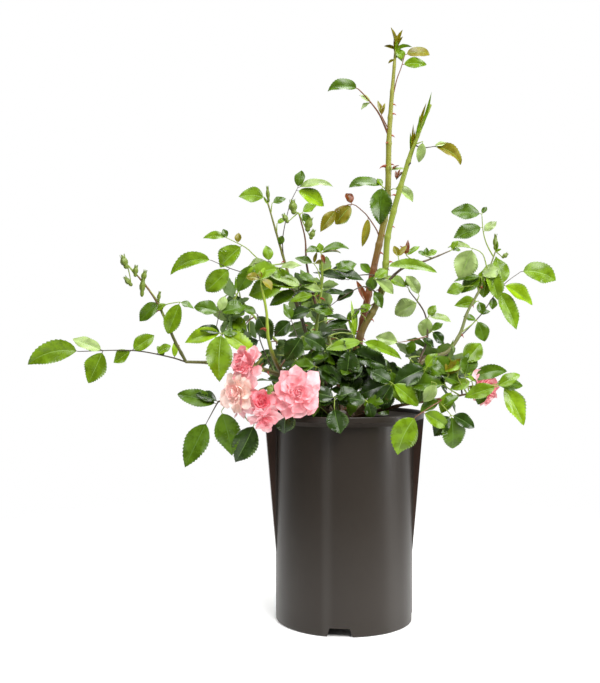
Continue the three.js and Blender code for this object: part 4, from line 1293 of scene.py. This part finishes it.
def rib_rise(angle, z):
    """How far a side rib stands out from the wall at a place round the pot and up it."""
    from_side = abs((angle + 90) % 180 - 90)
    edge = min(1.0, max(0.0, (POT["rib_half"] + POT["rib_edge"] - from_side) / (2 * POT["rib_edge"])))
    climb = max(0.0, z - POT["rib_foot"]) / (LIP_FOOT - POT["rib_foot"])
    return edge * climb * (POT["rim"] - POT["lip_chamfer"] - POT["foot"])


def make_pot():
    section, angles = pot_section(), pot_angles()
    points = [Vector((0, 0, section[0][1])), Vector((0, 0, section[-1][1]))]
    for angle in angles:
        turn = math.radians(angle)
        for radius, z in section[1:-1]:
            if radius < POT["foot"] + 0.5:
                radius += rib_rise(angle, z)
            elif z < LIP_FOOT:
                radius = max(radius, POT["foot"] + rib_rise(angle, z))
            points.append(round_point(radius, turn, z))
    rings = len(section) - 2
    faces = []
    for i in range(len(angles)):
        here, there = 2 + i * rings, 2 + (i + 1) % len(angles) * rings
        faces += [[here + k, there + k, there + k + 1, here + k + 1] for k in range(rings - 1)]
        faces += [[0, there, here], [1, here + rings - 1, there + rings - 1]]
    pot = Piece("nursery_pot")
    pot.add(points, pot_plastic=faces)
    shell = pot.build("pot_plastic", "pot", sharp=28)
    for i in range(DRAIN["count"]):
        cut_notch(shell, 2 * math.pi * i / DRAIN["count"] - math.radians(DRAIN["turn"]))


def cut_notch(shell, angle):
    """A drain notch through the foot of the wall, with slanted sides."""
    half = DRAIN["width"] / 2
    top = half - DRAIN["slant"]
    outline = [(-half, -1), (half, -1), (top, DRAIN["height"]), (-top, DRAIN["height"])]
    turn = Matrix.Rotation(angle, 3, "Z")
    near, far = -POT["foot"] - DRAIN["outside"], -POT["foot"] + DRAIN["inside"]
    corners = [turn @ Vector((x, y, z)) * MM for y in (near, far) for x, z in outline]
    mesh = bpy.data.meshes.new("notch")
    sides = [(0, 1, 2, 3), (7, 6, 5, 4), (0, 4, 5, 1), (1, 5, 6, 2), (2, 6, 7, 3), (3, 7, 4, 0)]
    mesh.from_pydata(corners, [], sides)
    cutter = bpy.data.objects.new("notch", mesh)
    bpy.context.scene.collection.objects.link(cutter)
    cut = shell.modifiers.new("notch", "BOOLEAN")
    cut.operation = "DIFFERENCE"
    cut.solver = "EXACT"
    cut.object = cutter
    bpy.context.view_layer.update()
    result = bpy.data.meshes.new_from_object(shell.evaluated_get(bpy.context.evaluated_depsgraph_get()))
    shell.modifiers.clear()
    shell.data = result
    bpy.data.objects.remove(cutter)


LUMPS = ((3.0, 17), (2.0, 6), (1.0, 2.6))  # height and spacing of the unevenness of the mix
CHIP_COUNT = 420


def make_potting_mix():
    """A crumbly surface with a short skirt down inside the pot, and loose bark chips on it."""
    rings, sides = 30, 96
    mix = Piece("fine_mix")
    points = [Vector((0, 0, MIX_TOP - 1))]
    for ring in range(1, rings + 1):
        for k in range(sides):
            place = round_point(MIX_REACH * ring / rings, 2 * math.pi * k / sides, 0)
            lumps = sum(height * noise.noise(place / spacing) for height, spacing in LUMPS)
            points.append(place + Vector((0, 0, MIX_TOP + 1.0 + lumps)))
    points += [round_point(MIX_REACH, 2 * math.pi * k / sides, MIX_FOOT) for k in range(sides)]
    points.append(Vector((0, 0, MIX_FOOT)))
    base = 1 + rings * sides
    faces = fan_faces(0, 1, sides) + flipped(ring_faces(1, base, sides))
    faces += flipped(fan_faces(len(points) - 1, base, sides))
    mix.add(points, wet_mix=faces)
    mix.build("potting_mix", "potting_mix")

    draw = random.Random(77)
    chips = Piece("bark_chips")
    for _ in range(CHIP_COUNT):
        out = MIX_REACH * 0.95 * draw.random() ** 0.5
        turn = draw.uniform(0, ROUND)
        centre = round_point(out, turn, MIX_TOP + 1.5 + draw.uniform(0, 3.5))
        spin = Matrix.Rotation(draw.uniform(0, ROUND), 3, "Z")
        spin = spin @ Matrix.Rotation(draw.uniform(-0.6, 0.6), 3, "X")
        long, wide, thick = draw.uniform(3, 8), draw.uniform(2, 4.5), draw.uniform(0.8, 2)
        corners = [
            centre + spin @ Vector((x * long * draw.uniform(.3, .55), y * wide * draw.uniform(.3, .55),
                                    z * thick / 2))
            for z in (-1, 1) for x, y in ((-1, -1), (1, -1), (1, 1), (-1, 1))
        ]
        sides = [[3, 2, 1, 0], [4, 5, 6, 7], [0, 1, 5, 4], [1, 2, 6, 5], [2, 3, 7, 6], [3, 0, 4, 7]]
        chips.add(corners, **{draw.choice(("chip_dark", "chip_dark", "chip_brown")): sides})
    chips.build("potting_mix", sharp=30)


# ================= studio =================
FLOOR_FADE = (0.14, 0.90)  # metres from the pot where the floor starts and ends melting into the walls
FLOOR_GLOW = 0.36
PAINTED_SHADE_EDGE = (0.070, 0.086)  # metres from the middle, where the floor's glow starts from under the pot; nearer the middle the floor doesn't glow, a painted shade under the pot
CEILING = 0.12  # how bright the studio's ceiling is beside its white back wall
ROOM = 0.14  # and how bright the room in front of the bush is


def make_studio():
    bpy.ops.mesh.primitive_circle_add(vertices=96, radius=14, fill_type="NGON", location=(0, 0, 0))
    floor = bpy.context.object
    floor.name = "studio_floor"
    paper = Finish("white_paper", Base_Color=rgb(0.93, 0.93, 0.92), Roughness=0.9,
                   Emission_Strength=FLOOR_GLOW)
    paper.bump(paper.noise(60, 2), 0.0002, 0.1)
    out = paper.node("ShaderNodeVectorMath", {"operation": "LENGTH"}, {0: paper.place()}, 1)
    paper.feed(paper.shader.inputs["Alpha"], 1 - paper.range(out, *FLOOR_FADE))
    # painted shade: the floor's glow is cut away under the pot, so the ground under it and seen through its
    # drain notches is dark
    lit = paper.range(out, *PAINTED_SHADE_EDGE)
    paper.feed(paper.shader.inputs["Emission Color"], paper.blend(lit, rgb(0, 0, 0), rgb(1, 1, 1)))
    floor.data.materials.append(FINISHES["white_paper"])

    world = bpy.data.worlds.new("studio")
    world.use_nodes = True
    walls = Nodes(world.node_tree)
    way = walls.node("ShaderNodeTexCoord")
    back = walls.node("ShaderNodeSeparateXYZ", None, {0: way}, 1)
    steep = walls.maths("ABSOLUTE", walls.node("ShaderNodeSeparateXYZ", None, {0: way}, 2), 0)
    glow = walls.range(back, 0.10, 0.65, ROOM, 1.0) * walls.range(steep, 0.36, 0.56, 1.0, CEILING)
    in_view = walls.node("ShaderNodeLightPath")
    background = world.node_tree.nodes["Background"]
    walls.feed(background.inputs["Strength"], walls.maths("MAXIMUM", glow, in_view))
    background.inputs["Color"].default_value = rgb(1.0, 1.0, 1.0)
    bpy.context.scene.world = world
    bpy.context.scene.view_settings.view_transform = "Standard"

    target = Vector((0, 0, 0.34))
    softboxes = [
        # name, place, width, height, power
        ("key_softbox", (0.55, -1.30, 1.60), 0.9, 1.1, 38),
        ("left_softbox", (-0.95, -0.95, 1.95), 0.9, 0.9, 22),
        ("right_softbox", (1.5, -0.40, 0.60), 0.35, 1.1, 16),
        ("left_strip", (-0.62, -1.20, 0.45), 0.07, 0.85, 1.0),
        ("top_softbox", (0.2, 0.3, 1.9), 0.9, 0.9, 24),
    ]
    for name, place, width, height, power in softboxes:
        lamp = bpy.data.lights.new(name, "AREA")
        lamp.shape = "RECTANGLE"
        lamp.size = width
        lamp.size_y = height
        lamp.energy = power
        holder = bpy.data.objects.new(name, lamp)
        holder.location = place
        holder.rotation_euler = (target - Vector(place)).to_track_quat("-Z", "Y").to_euler()
        bpy.context.scene.collection.objects.link(holder)


EYE = (-0.0522, -1.130, 0.328)  # the camera's place in metres


def make_camera():
    """A level view from the front, a little to the left of the pot's middle."""
    lens = bpy.data.cameras.new("front_camera")
    lens.lens = 50
    lens.sensor_width = 36
    camera = bpy.data.objects.new("front_camera", lens)
    camera.location = EYE
    camera.rotation_euler = (math.radians(90), 0, 0)
    bpy.context.scene.collection.objects.link(camera)
    bpy.context.scene.camera = camera


make_camera()
leaf_finishes()
bark_finishes()
pot_finishes()
make_pot()
make_potting_mix()
make_crown()
make_canes()
ROUTES["crown_stem"] = [[0, 0, MIX_TOP, 12], [0, 0, CROWN_TOP - 4, 10]]
make_foliage()
make_buds()
make_blooms()
STALKS.build("green_cane")
make_studio()
